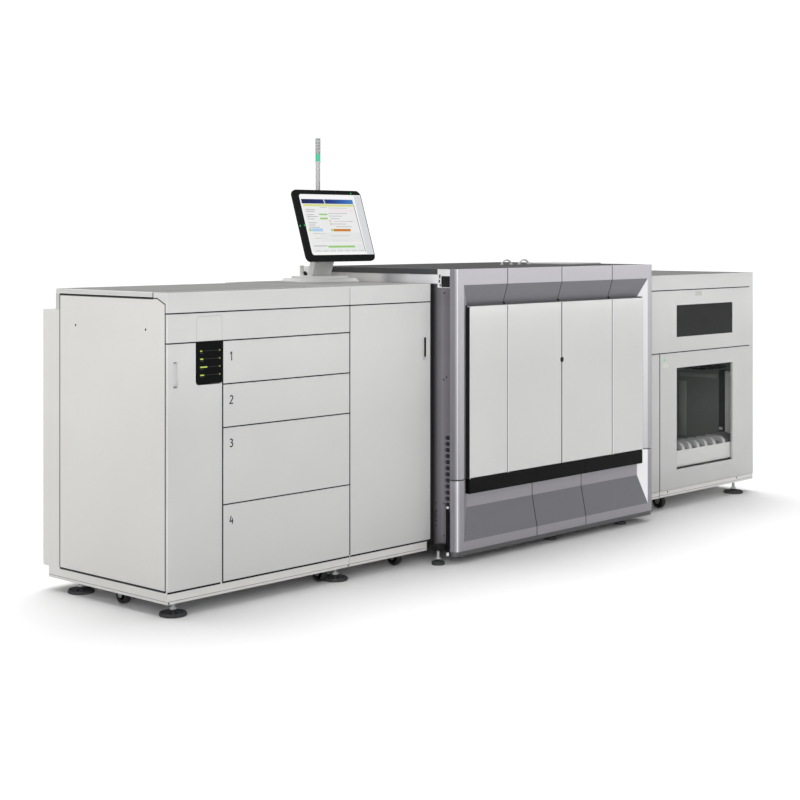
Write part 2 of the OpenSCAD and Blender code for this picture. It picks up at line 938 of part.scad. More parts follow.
// Three inner covers at the back of the engine's bay, each with two round knobs
module engine_inner_covers() {
    back = frame_back + bay_d - wall_t;
    span = (engine_door_x1 - engine_door_x0 - 2 * jamb - 4 * cover_gap) / 3;
    color("gainsboro")
        for (i = [0 : 2])
            translate([engine_door_x0 + jamb + cover_gap + i * (span + cover_gap), 0, 0]) {
                plate(0, span, back - cover_t, cover_t, engine_door_z + jamb + cover_gap,
                    slope_z - seam - jamb - cover_gap);
                for (z = knob_zs)
                    translate([span / 2, back - cover_t + cut, z])
                        rotate([90, 0, 0])
                            cylinder(d = knob_d, h = knob_l + cut);
            }
}

// Left and right walls with the closed rear part between them
module stacker_walls() {
    color("lightgray") {
        for (x = [stacker_x, stacker_x1 - wall_t])
            block([x, carcass_y, plinth_z], [x + wall_t, rear_y, lid_z]);
        block([stacker_x + wall_t, back_y, plinth_z], [stacker_x1 - wall_t, rear_y, lid_z]);
    }
}

// Floor, middle deck and top of the stacker
module stacker_decks() {
    color("lightgray") {
        for (z = [plinth_z, stacker_door_z])
            block([stacker_x + wall_t, carcass_y, z], [stacker_x1 - wall_t, back_y, z + wall_t]);
        block([stacker_x, skin_t, lid_z], [stacker_x1, rear_y, cab_h]);
    }
}

// Opening of a window, with its height above the floor and its own height
module window(y0, y1, z, h) {
    block([window_x0, y0, z], [window_x0 + window_w, y1, z + h]);
}

// Top band, upper panel and the fixed strip beside the door
module stacker_fronts() {
    color("gainsboro") {
        plate(stacker_x, stacker_x1, 0, skin_t, top_seam_z + seam / 2, cab_h);
        difference() {
            plate(stacker_x, stacker_x1, 0, skin_t, stacker_door_z + seam / 2, top_seam_z - seam / 2);
            window(-cut, skin_t + cut, upper_window_z, upper_window_h);
        }
        plate(stacker_x, stacker_door_x0 - seam, 0, skin_t, skin_z, stacker_door_z - seam / 2);
    }
}

module stacker_upper_pane() {
    color("black")
        window(pane_y, pane_y + pane_t, upper_window_z, upper_window_h);
}

module stacker_door() {
    color("gainsboro") {
        difference() {
            plate(stacker_door_x0, stacker_x1, 0, skin_t, skin_z, stacker_door_z - seam / 2);
            window(-cut, skin_t + cut, door_window_z, door_window_h);
        }
        pivots(stacker_x1 - skin_r, skin_r, skin_z, stacker_door_z - seam / 2, plinth_z + play,
            stacker_door_z + seam / 2 - play);
    }
}

module stacker_door_pane() {
    color([0.2, 0.2, 0.2, 0.4])
        window(pane_y, pane_y + pane_t, door_window_z, door_window_h);
}

// Dark lining behind the door window
module stacker_lining() {
    color("darkslategray")
        difference() {
            block([stacker_door_x0, lining_y0, stacker_floor_z], [stacker_x1 - wall_t, back_y, stacker_door_z]);
            block([stacker_door_x0 + lining_t, lining_y0 - cut, stacker_floor_z - cut],
                [stacker_x1 - wall_t - lining_t, back_y - lining_t, stacker_door_z - lining_t]);
        }
}

// Delivery rack's outline in depth and height: front plate, rising top and rear leg
module rack_outline() {
    top = rack_z + rack_rise;
    polygon([[rack_y0, apron_z], [rack_y0, rack_z], [rack_y1, top], [rack_y1, stacker_floor_z],
        [rack_y1 - rack_t, stacker_floor_z], [rack_y1 - rack_t, top - rack_t],
        [rack_y0 + rack_t, rack_z - rack_t], [rack_y0 + rack_t, apron_z]]);
}

// Delivery rack in one folded profile, with an upright on the wall at its end
module stacker_rack() {
    color("silver") {
        along(rack_x0, lining_x1)
            rack_outline();
        block([lining_x1 - rack_t, post_y, rack_z - rack_t], [lining_x1, rack_y1, post_top_z]);
    }
}

// Raised fins with a rounded nose that guide the sheets over the rack
module stacker_fins() {
    color("white")
        for (d = fin_places)
            along(window_x0 + d - fin_w, window_x0 + d)
                difference() {
                    union() {
                        translate([rack_y0 + fin_r, rack_z])
                            circle(fin_r);
                        translate([rack_y0 + fin_r, rack_z])
                            square([fin_l, fin_r]);
                    }
                    translate([rack_y0 - fin_r, rack_z - 2 * fin_r])
                        square([fin_l + 3 * fin_r, 2 * fin_r]);
                    polygon([[rack_y0, rack_z - fin_r], [rack_y0, rack_z], [rack_y1, rack_z + rack_rise],
                        [rack_y1, rack_z - fin_r]]);
                }
}

// Outline of the stand's foot, cut off square at the end of the transfer module
module stand_outline(inset) {
    intersection() {
        translate([stand_x, stand_y])
            rotate(stand_yaw)
                square([stand_w - 2 * inset, stand_d - 2 * inset], center = true);
        square([transfer_x + transfer_w - inset, engine_d]);
    }
}

// Bevelled foot and leaning neck of the screen, with the fork and pin of its tilt hinge
module console_stand() {
    color("lightgray") {
        translate([0, 0, cab_h]) {
            hull() {
                linear_extrude(foot_edge)
                    stand_outline(foot_edge);
                linear_extrude(foot_t)
                    stand_outline(foot_t);
            }
            linear_extrude(stand_t)
                stand_outline(foot_step);
        }
        difference() {
            along(console_x - neck_w / 2, console_x + neck_w / 2) {
                neck_outline();
                translate([hinge_y, hinge_z])
                    circle(d = hinge_d);
            }
            along(console_x - knuckle_w / 2 - seam, console_x + knuckle_w / 2 + seam) {
                translate([hinge_y, hinge_z])
                    circle(d = hinge_d + 2 * hinge_clear);
            }
        }
        along(console_x - neck_w / 2, console_x + neck_w / 2)
            translate([hinge_y, hinge_z])
                circle(d = pin_d);
    }
}

// Outline of the leaning neck from the stand's foot to the hinge
module neck_outline() {
    rise = [hinge_y - neck_y, hinge_z - stand_top];
    intersection() {
        translate([neck_y, stand_top])
            rotate(atan2(rise.y, rise.x))
                translate([-neck_t, -neck_t / 2])
                    square([norm(rise) + neck_t, neck_t]);
        translate([0, stand_top])
            square([engine_d, engine_h]);
    }
}

// Moves a piece from the screen's own frame to its place: x along it, y into it, z up its face
module at_monitor() {
    translate([console_x, monitor_y, monitor_z])
        rotate([-monitor_tilt, 0, 0])
            children();
}

// Outline of the housing with rounded corners, centred on its width
module monitor_outline(margin, r) {
    w = monitor_w - 2 * margin;
    h = monitor_h - 2 * margin;
    translate([-w / 2 + r, margin])
        square([w - 2 * r, h]);
    translate([-w / 2, margin + r])
        square([w, h - 2 * r]);
    for (x = [-w / 2 + r, w / 2 - r], z = [margin + r, margin + h - r])
        translate([x, z])
            circle(r);
}

// An outline along the line and up, made into a plate that starts at a depth
module upright_plate(y, t) {
    translate([0, y + t, 0])
        rotate([90, 0, 0])
            linear_extrude(t)
                children();
}

module monitor() {
    color("black")
        at_monitor() {
            difference() {
                union() {
                    upright_plate(0, rim_t)
                        monitor_outline(0, monitor_r);
                    hull() {
                        upright_plate(rim_t - cut, cut)
                            monitor_outline(rim_t, monitor_r);
                        upright_plate(monitor_t - cut, cut)
                            monitor_outline(back_inset, monitor_r);
                    }
                }
                glass_block(cut);
            }
            difference() {
                union() {
                    along(-knuckle_w / 2, knuckle_w / 2)
                        translate([monitor_t + hinge_off, hinge_up])
                            circle(d = hinge_d);
                    block([-knuckle_w / 2, monitor_t - cut, hinge_up - hinge_d / 3],
                        [knuckle_w / 2, monitor_t + hinge_off, hinge_up + hinge_d / 3]);
                }
                along(-knuckle_w, knuckle_w)
                    translate([monitor_t + hinge_off, hinge_up])
                        circle(d = pin_d + 2 * play);
            }
        }
}

// Space of the glass in the front of the housing, rounded at the left and open to the right edge
module glass_block(proud) {
    w = monitor_w - bezel - bezel_right;
    h = monitor_h - bezel_top - bezel_bottom;
    upright_plate(-proud, glass_t + proud)
        translate([bezel - monitor_w / 2, bezel_bottom])
            difference() {
                square([w, h]);
                corner_trim(glass_r);
                translate([0, h])
                    mirror([0, 1])
                        corner_trim(glass_r);
            }
}

module monitor_glass() {
    color("aliceblue")
        at_monitor()
            glass_block(0);
}

// Turned outline of the signal tower: collar, pole, lamp and the lenses with grooves between them
module tower_outline() {
    stack_z = tower_h - lamp_stack_h;
    difference() {
        union() {
            square([tower_d / 2, tower_base_h]);
            square([pole_d / 2, tower_h]);
            translate([0, stack_z])
                square([tower_d / 2, lamp_stack_h]);
        }
        for (i = [0 : lens_count])
            translate([lens_groove_d / 2, stack_z + lamp_h + i * lens_pitch])
                square([tower_d, lens_groove]);
    }
}

module signal_tower() {
    color("white")
        translate([transfer_x + transfer_w - tower_inset, tower_y, cab_h])
            rotate_extrude()
                tower_outline();
}

// Skirt bars under the front, back and ends of the three cabinets
module plinths() {
    color("lightgray")
        for (span = plinth_spans) {
            for (y = [plinth_inset, plinth_y1 - skirt_t])
                block([span[0], y, span[2]], [span[1], y + skirt_t, plinth_z]);
            for (x = [span[0], span[1] - skirt_t])
                block([x, plinth_inset + skirt_t + play, span[2]],
                    [x + skirt_t, plinth_y1 - skirt_t - play, plinth_z]);
        }
}

// Plates low behind the fronts that bolt each module to the next
module docking_plates() {
    color("gray")
        for (span = dock_spans)
            block([span[0], dock_y, dock_z], [span[1], dock_y + dock_d, dock_z + dock_h]);
}

// A levelling foot: dished pad with a rim, hexagonal lock nut and screw up to the housing
module foot(d, h) {
    rotate_extrude()
        polygon([[0, 0], [d / 2 - rim_c, 0], [d / 2, rim_c], [d / 2, pad_rim_h], [d / 2 - pad_rim_w, pad_rim_h],
            [d / 2 - pad_rim_w - rim_c, pad_web_h], [hub_d / 2, pad_web_h + rim_c], [hub_d / 2 - rim_c, pad_h],
            [foot_screw_d / 2, pad_h], [foot_screw_d / 2, h], [0, h]]);
    translate([0, 0, pad_h - play])
        cylinder(d = nut_d, h = nut_h, $fn = 6);
}

module levelling_feet() {
    color("dimgray") {
        for (place = foot_places)
            translate(place)
                foot(pad_d, plinth_z);
        for (place = concat(outer_foot_places, inner_foot_places))
            translate(place)
                foot(small_pad_d, engine_z);
    }
}

// Side view of a fork's cheek: as wide as the top plate, narrowing to a round end at the axle
module cheek_outline() {
    axle_z = wheel_lift + wheel_d / 2;
    translate([0, axle_z])
        circle(fork_d);
    polygon([[-fork_d, axle_z], [fork_d, axle_z], [fork_w, plinth_z - fork_top + cut],
        [-fork_w, plinth_z - fork_top + cut]]);
}

module caster_forks() {
    color("gray")
        for (place = caster_places)
            translate([place.x, place.y, 0]) {
                block([-fork_w, -fork_w, plinth_z - fork_top], [fork_w, fork_w, plinth_z]);
                for (x = [-wheel_w / 2 - play - fork_t, wheel_w / 2 + play])
                    along(x, x + fork_t)
                        cheek_outline();
            }
}

module caster_wheels() {
    color("black")
        for (place = caster_places)
            translate([place.x - wheel_w / 2, place.y, wheel_lift + wheel_d / 2])
                rotate([0, 90, 0])
                    cylinder(d = wheel_d, h = wheel_w);
}

centred() input_side_left();
centred() input_walls();
centred() input_back_box();
centred() input_decks();
centred() input_runners();
centred() input_head();
centred() input_fronts();
centred() input_lid();
centred() input_door();
centred() indicator_panel();
centred() drawer_1();
centred() drawer_2();
centred() drawer_3();
centred() drawer_4();
centred() transfer_cabinet();
centred() transfer_cap();
centred() transfer_door();
centred() engine_sides();
centred() engine_core();
centred() engine_bay();
centred() engine_inner_covers();
centred() engine_brackets();
centred() engine_outriggers();
centred() engine_crown();
centred() engine_top();
centred() top_hatch();
centred() top_handles();
centred() engine_frame_upper();
centred() engine_frame_lower();
centred() engine_sill();
centred() engine_slopes();
centred() engine_band();
centred() engine_door_left();
centred() engine_door_right();
centred() stacker_walls();
centred() stacker_decks();
centred() stacker_fronts();
centred() stacker_upper_pane();
centred() stacker_door();
centred() stacker_door_pane();
centred() stacker_lining();
centred() stacker_rack();
centred() stacker_fins();
centred() console_stand();
centred() monitor();
centred() monitor_glass();
centred() signal_tower();
centred() plinths();
centred() docking_plates();
centred() levelling_feet();
centred() caster_forks();
centred() caster_wheels();
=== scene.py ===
"""Digital production printer: finishes, small fittings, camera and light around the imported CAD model."""
import math

import bmesh
import bpy
from mathutils import Matrix, Vector


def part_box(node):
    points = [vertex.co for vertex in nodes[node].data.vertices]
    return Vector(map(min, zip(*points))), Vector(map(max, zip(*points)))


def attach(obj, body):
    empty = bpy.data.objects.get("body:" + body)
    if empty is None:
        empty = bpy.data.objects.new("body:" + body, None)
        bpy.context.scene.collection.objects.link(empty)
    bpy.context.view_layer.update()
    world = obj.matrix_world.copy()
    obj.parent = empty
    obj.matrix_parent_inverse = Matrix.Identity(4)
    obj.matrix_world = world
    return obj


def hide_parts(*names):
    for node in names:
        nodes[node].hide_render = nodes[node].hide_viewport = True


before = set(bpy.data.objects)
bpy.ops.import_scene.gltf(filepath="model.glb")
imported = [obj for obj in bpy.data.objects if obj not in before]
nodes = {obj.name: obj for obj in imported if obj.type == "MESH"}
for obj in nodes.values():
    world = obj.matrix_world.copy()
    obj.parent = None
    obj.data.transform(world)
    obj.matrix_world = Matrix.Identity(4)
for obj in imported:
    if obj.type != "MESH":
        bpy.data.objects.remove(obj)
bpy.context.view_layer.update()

MM = 0.001
SHARP = 35  # degrees from which an edge counts as sharp
PROUD = 0.15  # mm that most flat marks stand out of their face
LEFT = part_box("input_side_left")[0].x
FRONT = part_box("input_fronts")[0].y
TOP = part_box("input_lid")[1].z / MM


def at(x, y, z):
    """A point given in mm from the line's left end, the cabinets' front plane and the floor."""
    return Vector((LEFT + x * MM, FRONT + y * MM, z * MM))


def box_of(node):
    """A CAD node's low and high corner in the same mm."""
    return [((corner.x - LEFT) / MM, (corner.y - FRONT) / MM, corner.z / MM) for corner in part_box(node)]


# ---------------------------------------------------------------- materials

def linear(code):
    """A #RRGGBB colour in linear light."""
    parts = [int(code[i:i + 2], 16) / 255 for i in (1, 3, 5)]
    return tuple(c / 12.92 if c <= 0.04045 else ((c + 0.055) / 1.055) ** 2.4 for c in parts)


def shade(code, factor):
    """A #RRGGBB colour times a factor, as a shader takes it."""
    return tuple(min(1.0, c * factor) for c in linear(code)) + (1.0,)


PLAIN = "#FFFFFF"
LINE_DEPTH = 0.00002


class Finish:
    """Builds one procedural material step by step."""

    def __init__(self, name):
        self.material = bpy.data.materials.new(name)
        self.material.use_nodes = True
        self.tree = self.material.node_tree
        self.shader = self.tree.nodes["Principled BSDF"]
        self.space = self.tree.nodes.new("ShaderNodeTexCoord").outputs["Object"]

    def feed(self, target, given):
        """Links a socket to an input, or sets a plain value on it."""
        if isinstance(given, bpy.types.NodeSocket):
            self.tree.links.new(given, target)
        else:
            target.default_value = given

    def stretch(self, scale):
        """Object coordinates stretched by a scale for each axis."""
        mapping = self.tree.nodes.new("ShaderNodeMapping")
        mapping.inputs["Scale"].default_value = scale
        self.tree.links.new(self.space, mapping.inputs["Vector"])
        return mapping.outputs["Vector"]

    def noise(self, scale, detail, stretch=(1, 1, 1)):
        """A noise pattern in object coordinates, mostly between 0.35 and 0.65."""
        node = self.tree.nodes.new("ShaderNodeTexNoise")
        node.inputs["Scale"].default_value = scale
        node.inputs["Detail"].default_value = detail
        self.tree.links.new(self.stretch(stretch), node.inputs["Vector"])
        return node.outputs["Fac"]

    def span(self, value, low, high, start=0.35, end=0.65):
        """The value taken from start and end to low and high."""
        node = self.tree.nodes.new("ShaderNodeMapRange")
        for key, number in (("From Min", start), ("From Max", end), ("To Min", low), ("To Max", high)):
            node.inputs[key].default_value = number
        self.tree.links.new(value, node.inputs["Value"])
        return node.outputs["Result"]

    def fine_lines(self, along):
        """A pattern of fine lines along one axis."""
        stretch = [260.0, 260.0, 260.0]
        stretch[along] = 3.0
        return self.noise(6, 3, stretch)

    def mix(self, factor, first, second, mode="MIX"):
        """Two colours joined by a factor; each of the three is a socket or a plain value."""
        node = self.tree.nodes.new("ShaderNodeMix")
        node.data_type = "RGBA"
        node.blend_type = mode
        for key, given in (("Factor", factor), ("A", first), ("B", second)):
            self.feed(node.inputs[key], given)
        return node.outputs["Result"]

    def tint(self, pattern, code, low, high):
        """A colour that a pattern takes from its low to its high share."""
        return self.mix(self.span(pattern, 0, 1), shade(code, low), shade(code, high))

    def times(self, colour, factor):
        """One colour multiplied by another."""
        return self.mix(1.0, colour, factor, "MULTIPLY")

    def colour(self, socket):
        self.tree.links.new(socket, self.shader.inputs["Base Color"])

    def roughness(self, pattern, low, high):
        self.tree.links.new(self.span(pattern, low, high), self.shader.inputs["Roughness"])

    def part_of(self, vector, axis):
        node = self.tree.nodes.new("ShaderNodeSeparateXYZ")
        self.tree.links.new(vector, node.inputs[0])
        return node.outputs[axis]

    def facing(self, axis):
        """How far the surface faces along an axis, from -1 to 1."""
        return self.part_of(self.tree.nodes.new("ShaderNodeNewGeometry").outputs["Normal"], axis)

    def place(self, axis):
        """The surface's place along an axis in metres."""
        return self.part_of(self.tree.nodes.new("ShaderNodeNewGeometry").outputs["Position"], axis)

    def ramp(self, value, stops):
        """Colours along a value; the stops are (value, #RRGGBB)."""
        low, high = stops[0][0], stops[-1][0]
        node = self.tree.nodes.new("ShaderNodeValToRGB")
        self.tree.links.new(self.span(value, 0, 1, low, high), node.inputs["Fac"])
        marks = node.color_ramp.elements
        while len(marks) < len(stops):
            marks.new(0.5)
        for mark, (spot, code) in zip(marks, stops):
            mark.position = (spot - low) / (high - low)
            mark.color = shade(code, 1)
        return node.outputs["Color"]

    def painted_shade_by_height(self, colour, tones):
        """The colour times painted shade given by height in metres, if there is any."""
        return self.times(colour, self.ramp(self.place("Z"), tones)) if tones else colour

    def bump(self, pattern, distance):
        node = self.tree.nodes.new("ShaderNodeBump")
        node.inputs["Distance"].default_value = distance
        self.tree.links.new(pattern, node.inputs["Height"])
        self.tree.links.new(node.outputs["Normal"], self.shader.inputs["Normal"])

    def set(self, **inputs):
        for key, value in inputs.items():
            self.shader.inputs[key.replace("_", " ")].default_value = value


def paint(name, code, rough=0.42, tone=0.025, peel=0.00003, grain=700, sheen=0.5, rise=None):
    """Powder coat or moulded plastic: slow drift of tone, uneven sheen and a fine orange peel; rise gives
    painted shade by height.
    """
    f = Finish(name)
    f.colour(f.painted_shade_by_height(f.tint(f.noise(1.7, 4), code, 1 - tone, 1 + tone), rise))
    f.roughness(f.noise(5, 4), rough - 0.04, rough + 0.05)
    f.bump(f.noise(grain, 2), peel)
    f.set(Specular_IOR_Level=sheen)
    return f.material


def brushed(name, code, rough=0.34, along=2, metallic=0.75):
    """Anodised or plated metal with fine lines along one axis."""
    f = Finish(name)
    lines = f.fine_lines(along)
    f.colour(f.tint(lines, code, 0.95, 1.04))
    f.roughness(lines, rough - 0.05, rough + 0.07)
    f.bump(lines, LINE_DEPTH)
    f.set(Metallic=metallic)
    return f.material


def topped(name, code, top, rough=0.42, rise=None):
    """A painted sheet whose upward faces take a second colour; rise gives painted shade by height."""
    f = Finish(name)
    side = f.painted_shade_by_height(f.tint(f.noise(1.7, 4), code, 0.975, 1.025), rise)
    upper = f.tint(f.noise(2.3, 4), top, 0.96, 1.04)
    f.colour(f.mix(f.span(f.facing("Z"), 0, 1, 0.8, 0.97), side, upper))
    f.roughness(f.noise(5, 4), rough - 0.04, rough + 0.05)
    f.bump(f.noise(700, 2), 0.00003)
    return f.material


def metal_shaded_by_facing(name, stops, axis="X", rough=0.38, metallic=0.2, along=2, rise=None):
    """Anodised metal with painted highlight and shade that follow the way it faces, and painted shade by
    height if rise gives tones.
    """
    f = Finish(name)
    lines = f.fine_lines(along)
    f.colour(f.painted_shade_by_height(f.times(f.ramp(f.facing(axis), stops), f.tint(lines, PLAIN, 0.96, 1.0)), rise))
    f.roughness(lines, rough - 0.05, rough + 0.07)
    f.bump(lines, LINE_DEPTH)
    f.set(Metallic=metallic)
    return f.material


def metal_shaded_by_depth(name, stops, metallic=0.15):
    """Coated metal with painted light and shade that change with depth, given in metres."""
    f = Finish(name)
    f.colour(f.times(f.ramp(f.place("Y"), stops), f.tint(f.noise(3, 4), PLAIN, 0.95, 1.0)))
    f.roughness(f.noise(8, 4), 0.38, 0.48)
    f.bump(f.noise(1200, 2), 0.00003)
    f.set(Metallic=metallic)
    return f.material


def lit(name, code, strength, tone=0.04, body=0.06):
    """A lamp or display area that shines with its own colour; the body is its share of plain colour."""
    f = Finish(name)
    f.colour(f.tint(f.noise(60, 2), code, body * (1 - tone), body * (1 + tone)))
    f.roughness(f.noise(20, 2), 0.28, 0.36)
    f.set(Emission_Color=shade(code, 1), Emission_Strength=strength)
    return f.material


def lit_along(name, stops, strength):
    """A display area whose own colour changes along the line; the stops are (metres, #RRGGBB)."""
    f = Finish(name)
    f.colour(f.tint(f.noise(60, 2), PLAIN, 0.004, 0.006))
    f.roughness(f.noise(20, 2), 0.28, 0.36)
    f.tree.links.new(f.ramp(f.place("X"), stops), f.shader.inputs["Emission Color"])
    f.set(Emission_Strength=strength)
    return f.material


def pane(name, code, alpha, rough=0.04):
    """Tinted glass with faint smears in its gloss."""
    f = Finish(name)
    f.colour(f.tint(f.noise(3, 3), code, 0.9, 1.1))
    f.roughness(f.noise(9, 4), rough, rough + 0.07)
    f.set(Alpha=alpha, IOR=1.5, Specular_IOR_Level=0.15)
    f.material.surface_render_method = "BLENDED"
    return f.material


def rubber(name, code):
    """Matt rubber or coarse plastic with a speckled grain."""
    f = Finish(name)
    f.colour(f.tint(f.noise(45, 5), code, 0.8, 1.25))
    f.roughness(f.noise(30, 4), 0.55, 0.75)
    f.bump(f.noise(420, 3), 0.0001)
    return f.material


# The coats below take painted shade by height: darker towards the floor, lightest near the top
FRONT_PAINTED_SHADE = [(0.2, "#F2F2F2"), (0.65, "#F4F4F4"), (0.93, PLAIN)]
LIGHT = paint("light_grey_coat", "#D8D8D7", rise=FRONT_PAINTED_SHADE)
LIGHT_TOP = topped("light_grey_shell", "#D8D8D7", "#8E8E8C", rise=FRONT_PAINTED_SHADE)
STACKER_PAINTED_SHADE = [(0.1, "#E4E4E4"), (0.35, "#EAEAEA"), (0.76, "#F2F2F2"), (1.0, PLAIN)]
STACKER = paint("stacker_coat", "#D8D8D7", rise=STACKER_PAINTED_SHADE)
STACKER_TOP = topped("stacker_shell", "#D8D8D7", "#808080", rise=STACKER_PAINTED_SHADE)
SIDE = paint("warm_grey_coat", "#DBDAD7",
             rise=[(0.1, "#F2F2F2"), (0.3, "#F3F3F3"), (0.62, "#F8F8F8"), (0.92, PLAIN)])
# The engine doors take painted shade by height: darker down from their top edge
DOOR_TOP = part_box("engine_door_left")[1].z
LEAF_PAINTED_SHADE = ((-0.25, "#E9E9E9"), (-0.12, "#EEEEEE"), (-0.05, "#F4F4F4"), (0.0, PLAIN))
LEAF = paint("engine_door_coat", "#E6E6E5", rise=[(DOOR_TOP + down, code) for down, code in LEAF_PAINTED_SHADE])
# The plinths' darker left faces are painted shade
PLINTH = metal_shaded_by_facing("plinth_painted_shade", [(-1.0, "#D4D3D0"), (-0.3, "#DFDEDB"), (1.0, "#DFDEDB")],
                      metallic=0.0, along=0)
# A painted highlight in a lighter tone for rounded edges
EDGE_HIGHLIGHT = paint("painted_edge_highlight", "#F4F4F3", rough=0.35)
LID = topped("lid_coat", "#D0D0CE", "#888886", rough=0.6)
DECK = topped("deck_coat", "#D0D0CE", "#747472", rough=0.6)
CARCASS = paint("carcass_grey", "#C4C4C3", rough=0.5)
STEEL = brushed("galvanised_steel", "#B4B6B8", rough=0.4, along=1)
ZINC = brushed("zinc_plate", "#8E9092", rough=0.34, along=2, metallic=0.6)
FORK = brushed("fork_plate", "#7A7C7E", rough=0.4, along=2, metallic=0.5)
# The fins' darker left faces are painted shade
FIN = metal_shaded_by_facing("fin_painted_shade", [(-1.0, "#B6B6B6"), (-0.3, "#C6C6C6"), (0.2, "#E2E2E2"), (1.0, "#E2E2E2")],
                   rough=0.5, metallic=0.0)
# The engine frame's tones by facing are painted light: a painted highlight on the rounded corners and facets,
# painted shade on the sides; its tones by height are painted shade
FACET_HIGHLIGHT = "#F8F7FA"
LEFT_PAINTED_LIGHT = [(-1.0, "#96949A"), (-0.9, "#7E7C83"), (-0.78, "#8C8A91"), (-0.66, "#A8A6AC"),
              (-0.56, "#BEBCC2"), (-0.53, FACET_HIGHLIGHT), (-0.43, FACET_HIGHLIGHT), (-0.40, "#C4C2C8")]
ALUMINIUM = metal_shaded_by_facing("anodised_frame_painted_light",
                         LEFT_PAINTED_LIGHT + [(0.0, "#D0CED4"), (0.3, "#BAB8BE"), (1.0, "#96949A")],
                         rise=[(0.34, "#CCCCCC"), (0.8, "#E6E6E6"), (1.05, "#F2F2F2"), (1.21, PLAIN)])
LOWER_ALUMINIUM = metal_shaded_by_facing("anodised_skirt_painted_light", LEFT_PAINTED_LIGHT + [(0.0, "#9C9AA0"), (1.0, "#9C9AA0")],
                               rise=[(0.05, PLAIN), (0.16, "#F8F8F8"), (0.26, "#F4F4F4"), (0.341, PLAIN)])
# The crown's tones along its depth are painted reflection and shade
CROWN = metal_shaded_by_depth("crown_painted_light", [
    (-0.43, PLAIN), (-0.28, "#FCFAFD"), (-0.19, "#F4F2F6"), (-0.137, "#D0D0D1"), (-0.07, "#ACAAB1"),
    (-0.02, "#E4E0E0"), (0.1, "#DCD8D8"), (0.457, "#BCBABC")], metallic=0.0)
# The slopes' darker downward faces are painted shade
SLOPE = metal_shaded_by_facing("dark_metallic_painted_shade",
                     [(-1.0, "#6C6C71"), (-0.2, "#717176"), (0.2, "#7C7C81"), (1.0, "#7C7C81")],
                     axis="Z", rough=0.45, metallic=0.1)
# The housing's tones along its depth are painted highlight and shade, darkest beside the transfer module
HOUSING = metal_shaded_by_depth("engine_housing_painted_light", [
    (-0.425, "#68666B"), (-0.400, "#6E6C71"), (-0.380, "#7E7C82"), (-0.368, "#726F76"), (-0.357, "#6C6A6F"),
    (-0.348, "#59575B"), (-0.340, "#434245"), (-0.330, "#2A2A2C"), (-0.29, "#4A494C"), (0.457, "#7B7A7E")])
SILL = paint("sill_coat", "#5A5A5C", rough=0.5)
CHARCOAL = topped("charcoal_coat", "#48484A", "#28282A", rough=0.6)
BLACK = paint("black_plastic", "#171819", rough=0.45, tone=0.08, grain=900, sheen=0.2)
GLOSS_BLACK = paint("gloss_black", "#101111", rough=0.35, tone=0.05, peel=0.00001, sheen=0.05)
DARK_GAP = paint("shadow_black", "#0B0B0C", rough=0.8, tone=0.1)
SEAM_GREY = paint("seam_shadow", "#2C2C2D", rough=0.8, tone=0.1)
WHITE = paint("white_plastic", "#EEEEED", rough=0.4)
LINING = paint("dark_lining", "#7C807C", rough=0.55)
DARK_LINING = paint("darker_lining", "#2E302F", rough=0.55)
RACK = topped("rack_coat", "#E6E6E4", "#8C8C8A", rough=0.45)
STAND = paint("stand_coat", "#E0E0DE", rough=0.45)
INNER = paint("inner_cover_coat", "#CFD1D2", rough=0.45)
NUMERAL = paint("numeral_ink", "#232425", rough=0.6, sheen=0.1)
RUBBER = rubber("black_rubber", "#161617")
PAD_RUBBER = rubber("pad_plastic", "#343536")
DARK_PANE = pane("dark_window", "#242525", 1.0, rough=0.3)
CLEAR_PANE = pane("grey_window", "#4A4D4C", 0.06)
GREEN_LAMP = lit("green_lamp", "#4CD67E", 1.1)
GREEN_MARK = lit("green_mark", "#B4CC52", 1.0)
DIM_MARK = lit("dim_mark", "#8C9A3C", 0.8)


def dress(node, material):
    """Gives a CAD node its material."""
    if not nodes[node].material_slots:
        nodes[node].data.materials.append(material)
    for slot in nodes[node].material_slots:
        slot.material = material


WELD_REACH = 0.00002


def soften(node):
    """Rounds a CAD node's sharp edges a little, and gives them a painted highlight in a lighter tone."""
    nodes[node].data.materials.append(EDGE_HIGHLIGHT)
    weld = nodes[node].modifiers.new("weld", "WELD")
    weld.merge_threshold = WELD_REACH
    bevel = nodes[node].modifiers.new("round", "BEVEL")
    bevel.width = 1.6 * MM
    bevel.segments = 2
    bevel.limit_method = "ANGLE"
    bevel.angle_limit = math.radians(SHARP)
    bevel.harden_normals = True
    bevel.material = len(nodes[node].material_slots) - 1


